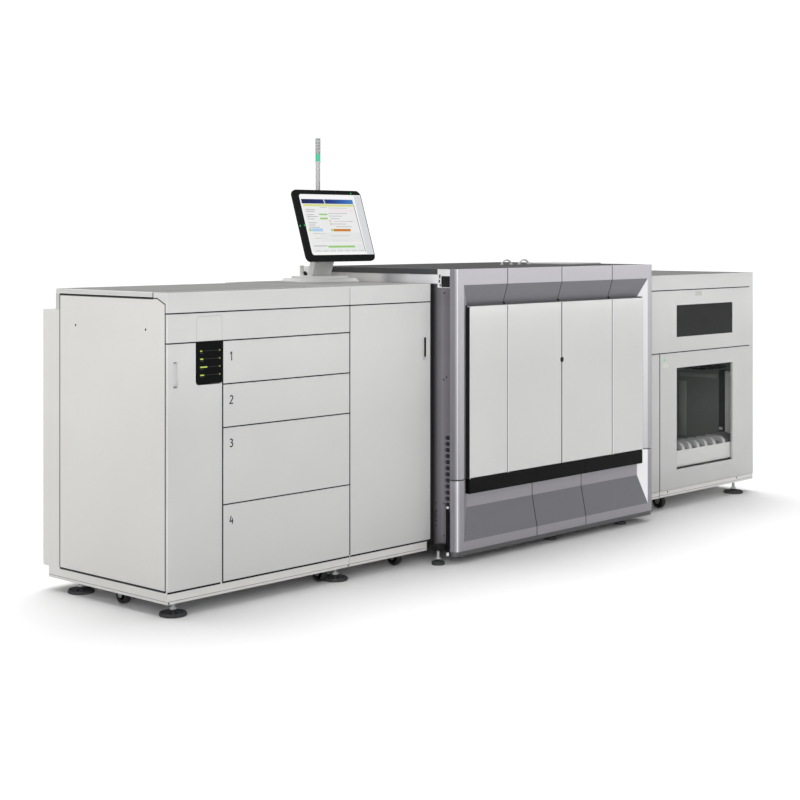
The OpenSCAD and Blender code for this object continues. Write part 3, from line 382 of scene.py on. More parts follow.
DRAWERS = ["drawer_1", "drawer_2", "drawer_3", "drawer_4"]
FINISHES = {
    LIGHT: ["input_door", "top_hatch", "transfer_door", "top_handles"] + DRAWERS,
    STACKER: ["stacker_door"],
    STACKER_TOP: ["stacker_fronts"],
    LEAF: ["engine_door_left", "engine_door_right"],
    LIGHT_TOP: ["input_fronts", "transfer_cap"],
    SIDE: ["input_side_left", "input_back_box"],
    PLINTH: ["plinths"],
    LID: ["input_lid"],
    DECK: ["stacker_decks"],
    CARCASS: ["input_walls", "input_head", "transfer_cabinet", "stacker_walls"],
    STEEL: ["input_decks", "input_runners", "docking_plates"],
    GLOSS_BLACK: ["indicator_panel", "engine_band"],
    HOUSING: ["engine_sides", "engine_core", "engine_bay"],
    INNER: ["engine_inner_covers"],
    WHITE: ["engine_brackets"],
    FIN: ["stacker_fins"],
    BLACK: ["engine_outriggers", "monitor"],
    CROWN: ["engine_crown"],
    CHARCOAL: ["engine_top"],
    ALUMINIUM: ["engine_frame_upper"],
    LOWER_ALUMINIUM: ["engine_frame_lower"],
    SILL: ["engine_sill"],
    SLOPE: ["engine_slopes"],
    DARK_PANE: ["stacker_upper_pane"],
    CLEAR_PANE: ["stacker_door_pane"],
    LINING: ["stacker_lining"],
    RACK: ["stacker_rack"],
    STAND: ["console_stand"],
    FORK: ["caster_forks"],
    RUBBER: ["caster_wheels", "levelling_feet"],
}
for material, names in FINISHES.items():
    for name in names:
        dress(name, material)
for name in DRAWERS + ["input_fronts", "input_door", "input_lid", "input_side_left", "transfer_cap",
                       "transfer_door", "stacker_fronts", "stacker_decks", "stacker_door",
                       "engine_door_left", "engine_door_right"]:
    soften(name)

# ---------------------------------------------------------------- mesh building


class Shape:
    """Collects solids in one mesh, in mm from the line's left end, front plane and floor."""

    def __init__(self, mapping=at):
        self.mesh = bmesh.new()
        self.mapping = mapping

    def add(self, part):
        """Takes over one closed solid, which the mapping puts in place."""
        for v in part.verts:
            v.co = self.mapping(*v.co)
        bmesh.ops.recalc_face_normals(part, faces=part.faces)
        copy = bpy.data.meshes.new("part")
        part.to_mesh(copy)
        part.free()
        self.mesh.from_mesh(copy)
        bpy.data.meshes.remove(copy)

    def block(self, low, high, edge=0.0):
        """A box from its low to its high corner, with edges rounded if edge is given."""
        part = bmesh.new()
        bmesh.ops.create_cube(part, size=1)
        for v in part.verts:
            v.co = Vector([low[i] + (v.co[i] + 0.5) * (high[i] - low[i]) for i in range(3)])
        if edge:
            bmesh.ops.bevel(part, geom=part.edges[:], offset=edge, segments=2, profile=0.5, affect="EDGES")
        self.add(part)
        return self

    def lathe(self, profile, centre, axis="z", turns=32, flip=1, radius=1):
        """Turns points about an axis through the centre; they give a share of the radius, and the height."""
        part = bmesh.new()
        rings = []
        for r, h in profile:
            r *= radius
            angles = [2 * math.pi * k / turns for k in range(turns)] if r else [0]
            rings.append([part.verts.new((r * math.cos(a), r * math.sin(a), h)) for a in angles])
        for a, b in zip(rings, rings[1:]):
            for k in range(turns):
                q = (k + 1) % turns
                if len(a) == 1:
                    part.faces.new((a[0], b[k], b[q]))
                elif len(b) == 1:
                    part.faces.new((a[k], b[0], a[q]))
                else:
                    part.faces.new((a[k], b[k], b[q], a[q]))
        for ring in (rings[0], rings[-1]):
            if len(ring) > 1:
                part.faces.new(ring)
        turn = {"z": Matrix.Identity(3), "y": Matrix.Rotation(math.radians(90), 3, "X"),
                "x": Matrix.Rotation(math.radians(90), 3, "Y")}[axis]
        for v in part.verts:
            v.co = turn @ Vector((v.co.x, v.co.y, v.co.z * flip)) + Vector(centre)
        self.add(part)
        return self

    def rod(self, centre, d, length, axis="z", edge=0.0):
        """A round bar, with its end edges broken if edge is given."""
        r = d / 2
        sides = [(r, 0), (r, length)]
        if edge:
            sides = [(r - edge, 0), (r, edge), (r, length - edge), (r - edge, length)]
        return self.lathe([(0, 0)] + sides + [(0, length)], centre, axis, 24)

    def prism(self, outline, y0, y1):
        """An outline in x and z, extruded in y."""
        part = bmesh.new()
        front = [part.verts.new((x, y0, z)) for x, z in outline]
        back = [part.verts.new((x, y1, z)) for x, z in outline]
        part.faces.new(front)
        part.faces.new(back[::-1])
        for i in range(len(outline)):
            j = (i + 1) % len(outline)
            part.faces.new((front[i], back[i], back[j], front[j]))
        self.add(part)
        return self

    def ribbon(self, path, width, y0, y1):
        """A line of even width along a path in x and z, extruded in y."""
        points = [Vector(p) for p in path]
        left, right = [], []
        for i, p in enumerate(points):
            before = (p - points[i - 1]).normalized() if i else (points[1] - p).normalized()
            after = (points[i + 1] - p).normalized() if i + 1 < len(points) else before
            ahead = (before + after).normalized()
            reach = width / 2 / max(ahead.dot(after), 0.5)
            across = Vector((-ahead.y, ahead.x)) * reach
            left.append(tuple(p + across))
            right.append(tuple(p - across))
        return self.prism(left + right[::-1], y0, y1)

    def finish(self, name, slot, material, body="machine", smooth=SHARP):
        """Makes the mesh a piece that rides on a body; slot is not used, and smooth is in degrees."""
        mesh = bpy.data.meshes.new(name)
        self.mesh.to_mesh(mesh)
        self.mesh.free()
        piece = bpy.data.objects.new(name, mesh)
        bpy.context.scene.collection.objects.link(piece)
        mesh.materials.append(material)
        if smooth:
            mesh.shade_smooth()
            mesh.set_sharp_from_angle(angle=math.radians(smooth))
        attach(piece, body)
        return piece


def slab(name, slot, material, low, high, edge=0.0, body="machine", mapping=at):
    """One block as a piece of its own."""
    Shape(mapping).block(low, high, edge).finish(name, slot, material, body, SHARP if edge else 0)


def arc(cx, cz, r, start, end, steps=9):
    """Points on a circle in x and z, from one angle to another in degrees."""
    angles = [math.radians(start + (end - start) * k / steps) for k in range(steps + 1)]
    return [(cx + r * math.cos(a), cz + r * math.sin(a)) for a in angles]


# ---------------------------------------------------------------- input module

(panel_x0, _, _), (panel_x1, _, panel_z1) = box_of("indicator_panel")
_, (input_x1, cap_y1, _) = box_of("input_fronts")
(_, side_y0, side_z0), (_, side_y1, side_z1) = box_of("input_side_left")
(_, lid_y0, lid_z0), (_, lid_y1, _) = box_of("input_lid")
(drawer_x0, _, _), (drawer_x1, _, _) = box_of("drawer_1")
(transfer_x0, _, _), (transfer_x1, _, _) = box_of("transfer_cap")
(stacker_x0, _, _), (stacker_x1, _, _) = box_of("stacker_fronts")
(stacker_door_x, _, _), (_, _, stacker_door_z1) = box_of("stacker_door")
SEAM = 5
TOP_SEAM_Z = 1075
DRAWER_TOP_Z = 969
DOOR_TOP_Z = 767
SKIN_Z = 92.5
SKIN_T = 12
PLINTH_END_X = 1367

STROKE = 4.7
DIGIT_SCALE = 1.08
DIGIT_INSET = 31
DIGIT_DROP = 72
DIGITS = {
    1: [[(1, 23), (8, 28.5), (8, 0)]],
    2: [arc(7, 21.5, 6.2, 160, -35) + [(0, 1.7), (14.5, 1.7)]],
    3: [arc(6, 21.8, 5.6, 150, -80) + [(5, 16)], [(5, 15.6)] + arc(6, 8.6, 6.8, 88, -145)],
    4: [[(5.5, 28), (0.5, 10), (15, 10)], [(11, 20), (11, 0)]],
}


def numeral(drawer):
    """The drawer's own number as thin raised strokes beside its left edge."""
    (x0, y0, _), (_, _, z1) = box_of(f"drawer_{drawer}")
    x0, z0 = x0 + DIGIT_INSET, z1 - DIGIT_DROP
    shape = Shape()
    for path in DIGITS[drawer]:
        path = [(x0 + x * DIGIT_SCALE, z0 + z * DIGIT_SCALE) for x, z in path]
        shape.ribbon(path, STROKE, y0 - PROUD, y0 + 0.5)
    shape.finish(f"numeral_{drawer}", f"drawer_{drawer}", NUMERAL, f"drawer_{drawer}", smooth=0)


for drawer in DIGITS:
    numeral(drawer)

# Dark strips of painted shade that fill the joints between the sheets, just below their surface
STRIP_Y = 0.3
STRIP_W = SEAM - 0.4
SEAM_STOP = 37
strips = Shape()


def across(x0, x1, z):
    """A strip in a level joint."""
    strips.block((x0, STRIP_Y, z - STRIP_W / 2), (x1, SKIN_T + 0.4, z + STRIP_W / 2))


def upright(x, z0, z1, width):
    """A strip in an upright joint."""
    strips.block((x - width / 2, STRIP_Y, z0), (x + width / 2, SKIN_T + 0.4, z1))


for z in (TOP_SEAM_Z, DRAWER_TOP_Z):
    across(1, input_x1 - 0.5, z)
across(transfer_x0 + 0.5, transfer_x1 - 0.5, TOP_SEAM_Z)
for z in (TOP_SEAM_Z, DOOR_TOP_Z):
    across(stacker_x0 + 1, stacker_x1 - SEAM_STOP, z)
for drawer in (1, 2, 3):
    (_, _, low), _ = box_of(f"drawer_{drawer}")
    across(drawer_x0 + 1, drawer_x1 - 0.5, low - SEAM / 2)
upright(drawer_x0 - SEAM / 2 + 0.6, SKIN_Z, DRAWER_TOP_Z, 3.4)
upright(stacker_door_x - SEAM / 2, SKIN_Z, DOOR_TOP_Z, 4.4)
# Between the input and transfer modules: down the front, and along the top
strips.block((input_x1 + 0.3, STRIP_Y, SKIN_Z), (transfer_x0 - 0.3, SKIN_T, TOP - 3))
strips.block((input_x1 + 0.3, SKIN_T, TOP - 10), (transfer_x0 - 0.3, lid_y1 - 2, TOP - 3))
# Below, above and behind the left side panel
strips.block((1.2, side_y0 + 0.5, 90.4), (15, side_y1, side_z0 - 0.3))
strips.block((1.2, cap_y1 + 1, side_z1 + 0.3), (15, lid_y1 - 2, lid_z0 - 0.3))
strips.block((1.0, side_y1 + 0.3, side_z0), (12, side_y1 + 2.7, 1068))
# Before the lid, and over the plinth, where it leaves the input door's pin free
strips.block((0.6, cap_y1 + 0.2, lid_z0), (input_x1 - 2, lid_y0 - 0.2, TOP - 1.2))
DOOR_PIN_X = drawer_x0 - SEAM - 3
for x0, x1 in ((0, DOOR_PIN_X - 3), (DOOR_PIN_X + 3, input_x1), (transfer_x0, PLINTH_END_X)):
    strips.block((x0 + 1, 2.3, 85), (x1 - 1, 2.9, 92.2))
strips.finish("joint_shade_strips", "input_walls", DARK_GAP, smooth=0)

# Dark lines of painted shade along the side panel's edges and its bevelled corner
BEVEL_Y = 45
BEVEL_Z = 20


def edge_line(shape, path, width):
    """A line of even width along a path in y and z on the left side."""
    flat = Shape(lambda y, x, z: at(x, y, z))
    flat.ribbon(path, width, -PROUD, 0.4)
    mesh = bpy.data.meshes.new("line")
    flat.mesh.to_mesh(mesh)
    flat.mesh.free()
    shape.mesh.from_mesh(mesh)
    bpy.data.meshes.remove(mesh)


edges = Shape()
for width, *path in (
        (4.4, (side_y0 + 1.5, side_z0), (side_y0 + 1.5, side_z1 - BEVEL_Z), (side_y0 + BEVEL_Y, side_z1),
         (cap_y1 + 1, side_z1)),
        (4.4, (cap_y1 + 1, side_z1 - 1), (cap_y1 + 1, TOP - 1)),
        (7, (cap_y1, side_z1 - 0.5), (side_y1 + 1, side_z1 - 0.5)),
        (4.4, (side_y1 + 1.5, side_z0), (side_y1 + 1.5, 1128)),
        (7, (side_y0, side_z0 - 4), (side_y1 + 1, side_z0 - 4))):
    edge_line(edges, path, width)
edges.finish("panel_edge_shade_lines", "input_side_left", SEAM_GREY, smooth=0)

# The indicator panel's rows: a lit mark, a trace to its dot, and a short trace below
marks = Shape()
dots = Shape()
traces = Shape()
ROW_PITCH = 29
MARK_X = panel_x0 + 16
for row, wide in enumerate((9, 14, 33, 18)):
    z = panel_z1 - 33 - ROW_PITCH * row
    marks.block((MARK_X, -PROUD, z - 2.4), (MARK_X + wide, 0.2, z + 2.4), 0.1)
    dots.rod((MARK_X + 91, -PROUD, z), 6, 0.9, "y")
    traces.block((MARK_X + wide + 4, -0.12, z - 0.5), (MARK_X + 84, 0.2, z + 0.5))
    traces.block((MARK_X, -0.12, z - 9), (MARK_X + 15, 0.2, z - 7.5))
marks.finish("indicator_marks", "indicator_panel", GREEN_MARK)
dots.finish("indicator_dots", "indicator_panel", DIM_MARK)
traces.finish("indicator_traces", "indicator_panel", paint("panel_print", "#34373A", rough=0.5))

# The two screws near the left side panel's top
washers = Shape()
recesses = Shape()
for y in (124, 543):
    for shape, r, rise, turns in ((washers, 10.5, 0.1, 28), (recesses, 4.4, 0.2, 20)):
        shape.lathe([(0, 0), (r, 0), (r, rise), (0, rise)], (0, y, side_z1 - 113), "x", turns, -1)
washers.finish("side_screw_washers", "input_side_left", paint("washer_grey", "#DCDBD8", rough=0.4))
recesses.finish("side_screw_recesses", "input_side_left", BLACK)

# ---------------------------------------------------------------- feet and casters

PAD_D, SMALL_PAD_D = 100, 55
RIB_W = 0.07  # half a rib's width, as a share of the pad's radius
CABINET_PADS = [(x, y) for x in (50, 862, 2885, 3791) for y in (32, 578)]
ENGINE_PADS = [(1360, -66, 80), (1385, 739, 80)] + [(x, y, 60) for x in (2111, 2636) for y in (-66, 739)]
_, (_, _, foot_top) = box_of("levelling_feet")


def pad(shape, x, y, d, ribs):
    """A dished levelling pad: rim, hub and the ribs between them, with open pockets."""
    r = d / 2
    rim = [(0.80, 0), (0.97, 0), (1, 3), (1, 9), (0.94, 13), (0.84, 14), (0.79, 9), (0.80, 0)]
    shape.lathe(rim, (x, y, 0), turns=40, radius=r)
    for profile in ([(0, 1), (0.34, 1), (0.34, 12), (0.27, 19), (0.20, 22), (0, 22)],
                    [(0, 0.4), (0.62, 0.4), (0.60, 5.4), (0, 6.4)]):
        shape.lathe(profile, (x, y, 0), radius=r)
    for k in range(ribs):
        angle = 2 * math.pi * (k + 0.5) / ribs
        c, s = math.cos(angle), math.sin(angle)
        part = bmesh.new()
        ring = []
        for share, top in ((0.22, 20), (0.5, 16), (0.9, 12)):
            for side in (-RIB_W, RIB_W):
                foot = (x + r * (c * share - s * side), y + r * (s * share + c * side))
                ring.append([part.verts.new((*foot, z)) for z in (0.6, top)])
        for i in (0, 2):
            (a0, a1), (b0, b1), (c0, c1), (d0, d1) = ring[i:i + 4]
            for face in ((a1, c1, d1, b1), (a0, b0, d0, c0), (a0, c0, c1, a1), (b0, b1, d1, d0)):
                part.faces.new(face)
        (a0, a1), (b0, b1), _, _, (e0, e1), (f0, f1) = ring
        part.faces.new((a0, a1, b1, b0))
        part.faces.new((e0, f0, f1, e1))
        shape.add(part)


def thread(shape, x, y, d, z0, z1, pitch=2.5):
    """A screw with its thread as rings of small ridges."""
    profile = [(0, z0)]
    z = z0
    while z + pitch <= z1:
        profile += [(0.88, z), (1, z + pitch / 2)]
        z += pitch
    profile += [(0.88, z), (0.88, z1), (0, z1)]
    shape.lathe(profile, (x, y, 0), turns=20, radius=d / 2)


def nut(shape, x, y, flats, z0, z1):
    """A hexagon nut with bevelled ends, by its width across flats."""
    profile = [(0, z0), (1.1, z0), (1.154, z0 + 1), (1.154, z1 - 1), (1.1, z1), (0, z1)]
    shape.lathe(profile, (x, y, 0), turns=6, radius=flats / 2)


# These and the wheels below stand for the CAD model's plain ones
pads = Shape()
screws = Shape()
for x, y in CABINET_PADS:
    pad(pads, x, y, PAD_D, 10)
    thread(screws, x, y, 15, 19, foot_top)
    nut(screws, x, y, 22, 22.5, 30)
for x, y, top in ENGINE_PADS:
    pad(pads, x, y, SMALL_PAD_D, 8)
    thread(screws, x, y, 12, 19, top)
    nut(screws, x, y, 18, 22.5, 29)
pads = pads.finish("foot_pads", "levelling_feet", PAD_RUBBER)
SCREW = brushed("screw_plate", "#C4C6C8", metallic=0.3)
screws = screws.finish("foot_screws", "levelling_feet", SCREW, smooth=25)
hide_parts("levelling_feet")
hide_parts("levelling_feet")

(_, _, tyre_z0), (_, _, tyre_z1) = box_of("caster_wheels")
CASTERS = [(40, 305), (795, 50), (862, 470), (1220, 50), (1220, 470), (3117, 40), (3117, 470)]
WHEEL_R = (tyre_z1 - tyre_z0) / 2
HALF_W = 13


def both_sides(half):
    """A wheel's profile from the one of half its width; the heights count from the side."""
    return [(r, h - HALF_W) for r, h in half] + [(r, HALF_W - h) for r, h in half[::-1]]


TYRE = both_sides([(0.62, 2), (0.86, 0), (0.95, 2), (1, 6)])
HUB = both_sides([(0, 3), (0.14, 3), (0.16, 6), (0.42, 7), (0.60, 3.4), (0.62, 3.4)])
tyres = Shape()
hubs = Shape()
for x, y in CASTERS:
    centre = (x, y, tyre_z0 + WHEEL_R)
    tyres.lathe(TYRE + TYRE[:1], centre, "x", 40, radius=WHEEL_R)
    hubs.lathe(HUB, centre, "x", radius=WHEEL_R)
tyres = tyres.finish("caster_tyres", "caster_wheels", RUBBER)
hubs = hubs.finish("caster_hubs", "caster_wheels", BLACK)
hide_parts("caster_wheels")
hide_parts("caster_wheels")

# ---------------------------------------------------------------- signal tower

(tower_x0, tower_y0, tower_z0), (tower_x1, tower_y1, tower_z1) = box_of("signal_tower")
tower_at = ((tower_x0 + tower_x1) / 2, (tower_y0 + tower_y1) / 2, 0)
tower_r = (tower_x1 - tower_x0) / 2
LAMP_LOW = tower_z1 - 104
LAMP_MID = tower_z1 - 71
LENS_PITCH = 14


def on_tower(shape, *profile):
    """Turns a profile about the tower's axis, with radii as shares of the tower's own."""
    shape.lathe(profile, tower_at, turns=40, radius=tower_r)


pole = Shape()
on_tower(pole, (0, tower_z0), (1, tower_z0), (1, tower_z0 + 10), (0.83, tower_z0 + 14), (0.83, LAMP_LOW - 8),
         (0.96, LAMP_LOW - 6), (0.96, LAMP_LOW), (0, LAMP_LOW))
for k in range(4):
    z = LAMP_MID + 12 + k * LENS_PITCH
    on_tower(pole, (0, z), (0.96, z), (0.96, z + 3), (0, z + 3))
on_tower(pole, (0, tower_z1 - 6), (0.96, tower_z1 - 6), (0.9, tower_z1 - 2), (0.5, tower_z1), (0, tower_z1))
pole = pole.finish("tower_pole", "signal_tower", paint("tower_grey", "#C9CBCA", rough=0.35))
lamp = Shape()
on_tower(lamp, (0, LAMP_LOW), (0.92, LAMP_LOW), (0.92, LAMP_MID), (0, LAMP_MID))
lamp = lamp.finish("tower_lamp", "signal_tower", lit("tower_green", "#4FC9A0", 0.9))
lenses = Shape()
for k in range(5):
    z = LAMP_MID + (k * LENS_PITCH + 1 if k else 0)
    on_tower(lenses, (0, z), (0.88, z), (0.92, z + 3), (0.92, z + 9), (0.88, z + 12), (0, z + 12))
lenses = lenses.finish("tower_lenses", "signal_tower", paint("clear_lens", "#A9ACAB", rough=0.15))
for piece in (pole, lamp, lenses):
    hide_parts("signal_tower")

# ---------------------------------------------------------------- touch screen

(mon_x0, mon_y0, mon_z0), (mon_x1, _, _) = box_of("monitor")
TILT = math.radians(18.4)
RIM = 10
MON_X = (mon_x0 + mon_x1) / 2
MON_Z = mon_z0 + RIM * math.sin(TILT)


def on_screen(x, depth, up):
    """mm from the screen's middle, behind its face and up the face from its lower edge."""
    return at(MON_X + x, mon_y0 + up * math.sin(TILT) + depth * math.cos(TILT),
              MON_Z + up * math.cos(TILT) - depth * math.sin(TILT))


SHINE = 0.97
UI_TONES = {
    "ground": "#E6E7E6", "band": "#D5D884",
    "grey": "#A9AEAE", "pale": "#E0E2E2", "rose": "#EADFE2", "green": "#96C873", "azure": "#A9CAEB",
    "orange": "#C87A20", "mark": "#DCE8D6", "line": "#4E5256", "strip": "#D4D6DA", "border": "#FBFBFB",
}
UI = [
    ("ground", -163, 150, 40, 278), ("band", -156, 144, 246, 255), ("strip", 160, 201, 30, 296),
    ("grey", -64, -22, 240, 242), ("grey", -12, 100, 238, 240), ("rose", -12, 140, 222, 232),
    ("green", -76, -27, 206, 213), ("green", -76, -30, 187, 195), ("azure", -140, -75, 133, 146),
    ("green", -26, -15, 134, 144), ("orange", -12, 92, 133, 144), ("green", -22, -14, 163, 172),
    ("orange", -23, -17, 176, 183), ("green", -155, -143, 134, 145), ("green", -66, 96, 60, 69),
    ("grey", -150, -70, 66, 70), ("pale", 104, 146, 56, 74), ("pale", -100, 148, 86, 128),
]
for up, wide in ((229, 56), (221, 50), (206, 42), (198, 62), (187, 40), (170, 48), (160, 36), (150, 60)):
    UI.append(("grey", -150, -150 + wide, up, up + 3))
for k in range(4):
    UI.append(("rose", -66, -28 + 40 * k, 150 + 9 * k, 152 + 9 * k))
for row, (start, end) in enumerate(((-20, 92), (-20, 60), (-12, 40), (2, 118), (-12, 74), (8, 104))):
    UI.append(("grey", start, end, 213 - 12 * row, 215.5 - 12 * row))
for row, (start, end) in enumerate(((-140, -60), (-40, 80), (-132, -84), (-30, 60))):
    UI.append(("grey", start, end, 122 - 10 * row, 124 - 10 * row))
for k in range(7):
    start = -146 + 43 * k
    UI += [("grey", start, start + 34, 44, 46), ("pale", start, start + 34, 46, 55)]
layers = {}
for rank, (tone, x0, x1, low, high) in enumerate(UI):
    depth = 0.22 if rank else 0.1
    layers.setdefault(tone, Shape(on_screen)).block((x0, -depth, low), (x1, 0.05, high))
for tone, shape in layers.items():
    shine = lit(f"display_{tone}_light", UI_TONES[tone], SHINE)
    shape.finish(f"display_{tone}", "monitor_glass", shine, "screen", smooth=0)
HEADER = ((-163, "#10194C"), (-60, "#17266A"), (20, "#1C3A86"), (90, "#2D62AE"), (146, "#4180C8"))
shine = lit_along("display_header_light", [(on_screen(x, 0, 0).x, code) for x, code in HEADER], SHINE)
slab("display_header", "monitor_glass", shine, (-163, -0.24, 258), (146, 0.05, 278), 0, "screen", on_screen)
for name, tone, outline in (("display_mark", "mark", [(-29, 258), (-24, 258), (-28, 279), (-33, 279)]),
                            ("display_edge", "line", [(152, 40), (155, 40), (149, 256), (146, 256)])):
    shine = lit(f"display_{tone}_light", UI_TONES[tone], SHINE)
    Shape(on_screen).prism(outline, -0.3, 0).finish(name, "monitor_glass", shine, "screen")
dress("monitor_glass", lit("display_border_light", UI_TONES["border"], 0.9))
lamps = Shape(on_screen)
for x, up, w, h in ((-203, 158, 4, 7), (-178, 160, 3, 6), (146, 307, 3, 7)):
    lamps.block((x - w / 2, -0.4, up - h / 2), (x + w / 2, 0.4, up + h / 2), 0.3)
lamps.finish("screen_lamps", "monitor", GREEN_LAMP, "screen")

# ---------------------------------------------------------------- engine

(frame_x0, front_y, _), (frame_x1, frame_y1, frame_z1) = box_of("engine_frame_upper")
(_, _, skirt_z0), _ = box_of("engine_frame_lower")
_, (_, _, hood_z) = box_of("engine_slopes")
(_, _, band_z0), (_, recess_y, _) = box_of("engine_band")
(left_x0, _, door_z0), (left_x1, left_y1, door_z1) = box_of("engine_door_left")
(right_x0, _, _), (right_x1, _, _) = box_of("engine_door_right")
(panel_x, _, base_z), _ = box_of("engine_sides")
engine_mid = (frame_x0 + frame_x1) / 2
slope_z = door_z1 + 5
rail_z = band_z0 - 58
strip_z = skirt_z0 + 38
HOOD_SEAMS = [frame_x0 + 335, engine_mid, frame_x1 - 335]
SKIRT_SEAMS = [engine_mid - 177, engine_mid + 177]
SEAM_W = 4.8
SINK = 0.8


def liner(shape, x, outline):
    """A dark strip of painted shade that fills a front seam just below its surface; the outline is in depth
    and height.
    """
    part = bmesh.new()
    sides = [[part.verts.new((x + dx, y, z)) for y, z in outline] for dx in (-SEAM_W / 2, SEAM_W / 2)]
    part.faces.new(sides[0])
    part.faces.new(sides[1][::-1])
    for i in range(len(outline)):
        j = (i + 1) % len(outline)
        part.faces.new((sides[0][i], sides[1][i], sides[1][j], sides[0][j]))
    shape.add(part)


# Dark strips of painted shade in the hood's and the skirt's seams, beside the doors and under the skirt
liners = Shape()
inner_y = frame_y1 - 3
for x in HOOD_SEAMS:
    liner(liners, x, [(front_y + SINK, frame_z1 - 1), (front_y + SINK, hood_z),
                      (recess_y + SINK, slope_z + 1), (inner_y, slope_z + 1), (inner_y, frame_z1 - 1)])
for x in SKIRT_SEAMS:
    liner(liners, x, [(front_y + SINK, skirt_z0 + 1), (front_y + SINK, strip_z), (recess_y + SINK, rail_z),
                      (recess_y + SINK, band_z0 - 3), (inner_y, band_z0 - 3), (inner_y, skirt_z0 + 1)])
for x0, x1 in ((left_x0 - 13.5, left_x0 - 0.5), (right_x1 + 0.5, right_x1 + 13.5)):
    liners.block((x0, recess_y - 11, door_z0 + 1), (x1, frame_y1 - 1, slope_z - 1))
liners.block((frame_x0 + 60, frame_y1 + 1, skirt_z0 - 17), (frame_x1 - 60, frame_y1 + 9, skirt_z0 + 12))
liners.finish("seam_shade_liners", "engine_slopes", DARK_GAP, smooth=0)

stops = Shape()
for x in HOOD_SEAMS:
    stops.rod((x, recess_y - 5, slope_z + 3), 9, 6, "y", 1.5)
stops.finish("hood_stops", "engine_slopes", BLACK)

LOCK_Z = 801
LOCK_R = 12


def half_lock(name, body, x, side):
    """Half of the round black lock plate between the two engine doors."""
    turns = [math.pi * (k / 12 - 0.5) for k in range(13)]
    rim = [(x + side * (LOCK_R - 1) * math.cos(turn), LOCK_Z + LOCK_R * math.sin(turn)) for turn in turns]
    plate = Shape().prism([(x, LOCK_Z - LOCK_R)] + rim + [(x, LOCK_Z + LOCK_R)], front_y - PROUD, front_y + 4)
    plate.finish(name, body, BLACK, body)


half_lock("lock_left", "engine_door_left", left_x1 + 1.2, -1)
half_lock("lock_right", "engine_door_right", right_x0 - 1.2, 1)

LIP_RUBBER = paint("lip_rubber", "#1E1F20", rough=0.7)
slab("door_lip", "engine_door_left", LIP_RUBBER, (left_x1 + 0.3, front_y + 0.6, door_z0 + 1),
     (left_x1 + 4.5, front_y + 16, door_z1 - 1), body="engine_door_left")
# Painted shade: a dark sheet on the left door's side face, in the gap beside the frame
slab("door_edge_shade", "engine_door_left", DARK_GAP, (left_x0 - 0.12, front_y + 2.5, door_z0 + 2),
     (left_x0 + 0.3, left_y1 - 0.5, door_z1 - 2), body="engine_door_left")

# Painted shade of an upright groove on each engine door, and a painted highlight on the edge beside it
GROOVE = paint("groove_shadow", "#808082", rough=0.6)
for name, body, x in (("left_leaf", "engine_door_left", 1733), ("right_leaf", "engine_door_right", 2489)):
    for part, material, x0, x1 in (("groove", GROOVE, x - 3.4, x + 3.4), ("highlight_strip", EDGE_HIGHLIGHT, x + 3.4, x + 7.4)):
        slab(f"{name}_{part}", body, material, (x0, front_y - 0.12, door_z0 + 2),
             (x1, front_y + 0.3, door_z1 - 2), body=body)

slab("hood_filler", "engine_slopes", SLOPE, (left_x0 + 6, recess_y + 0.5, door_z1 - 3),
     (right_x1 - 6, frame_y1, slope_z + 0.2))
# Painted shade: a dark sheet in the gap between the transfer module and the engine's side
slab("module_gap_shade", "engine_sides", DARK_GAP, (panel_x - 12, -2, 62), (panel_x - 0.2, 14, 1148))
slab("base_catch", "engine_frame_lower", BLACK, (engine_mid + 2, -99, skirt_z0 - 18),
     (engine_mid + 30, -80, base_z + 0.5), 3)

# The side panel's vents, holes and slots as dark marks, with painted shade in the vents and in the recess
# behind the stay rod
VENT_PITCH = 25
side_marks = Shape()
for z in range(233, 233 + 12 * VENT_PITCH, VENT_PITCH):
    side_marks.block((panel_x - PROUD, -92, z), (panel_x + 2.9, -73, z + 17))
    side_marks.block((panel_x - PROUD, -70, z + 3), (panel_x + 0.3, -66, z + 13))
for y, z in ((-59, 244), (-16, 242), (-20, 148), (-50, 71), (-61, 111)):
    side_marks.rod((panel_x - 0.6, y, z), 6, 0.9, "x")
slots = [(0.3, -22 + 3 * (i % 2), 166 + 10 * i, -14 + 3 * (i % 2), 171 + 10 * i) for i in range(5)]
slots += [(0.3, -97, 141, -77, 143.5), (0.3, -79.5, 84, -77, 141), (0.4, -96.5, 62, -79, 212)]
for rise, y0, z0, y1, z1 in slots:
    side_marks.block((panel_x - rise, y0, z0), (panel_x + 0.3, y1, z1))
side_marks.finish("side_marks", "engine_sides", DARK_GAP, smooth=0)

# The black stay rod beside the side panel, with its white ends
ROD_X, ROD_Y = panel_x - 8, -88
stay = Shape()
stay.rod((ROD_X, ROD_Y, 48), 14, 178)
for z in (80, 170):
    stay.block((ROD_X, ROD_Y - 5, z), (panel_x, ROD_Y + 1, z + 10), 1)
stay.finish("stay_rod", "engine_sides", GLOSS_BLACK)
stay_ends = Shape()
stay_ends.rod((ROD_X, ROD_Y, 32), 11, 24, edge=2)
stay_ends.rod((ROD_X, ROD_Y, 226), 11, 10, edge=3)
stay_ends.finish("stay_ends", "engine_sides", WHITE)

# Screws of the side panel, and painted shade in the holes of the brackets on the frame's side
corner_screws = Shape()
for y, z in ((-63, 1112), (-59, 755), (-75, 766)):
    corner_screws.rod((panel_x - 1, y, z), 7, 1.2, "x", 0.3)
corner_screws.finish("corner_screws", "engine_sides", BLACK)
hole_backs = Shape()
for y0, y1, z0, z1 in ((-96.5, -50, 1136, 1182), (738, 784, 1136, 1182), (-45, -38, 1172, 1188),
                       (-42, -35, 1154, 1166), (-47, -40, 1140, 1148)):
    hole_backs.block((frame_x0 - PROUD, y0, z0), (frame_x0 + 0.4, y1, z1), 0.1)
hole_backs.finish("bracket_hole_shade", "engine_brackets", DARK_GAP, smooth=0)

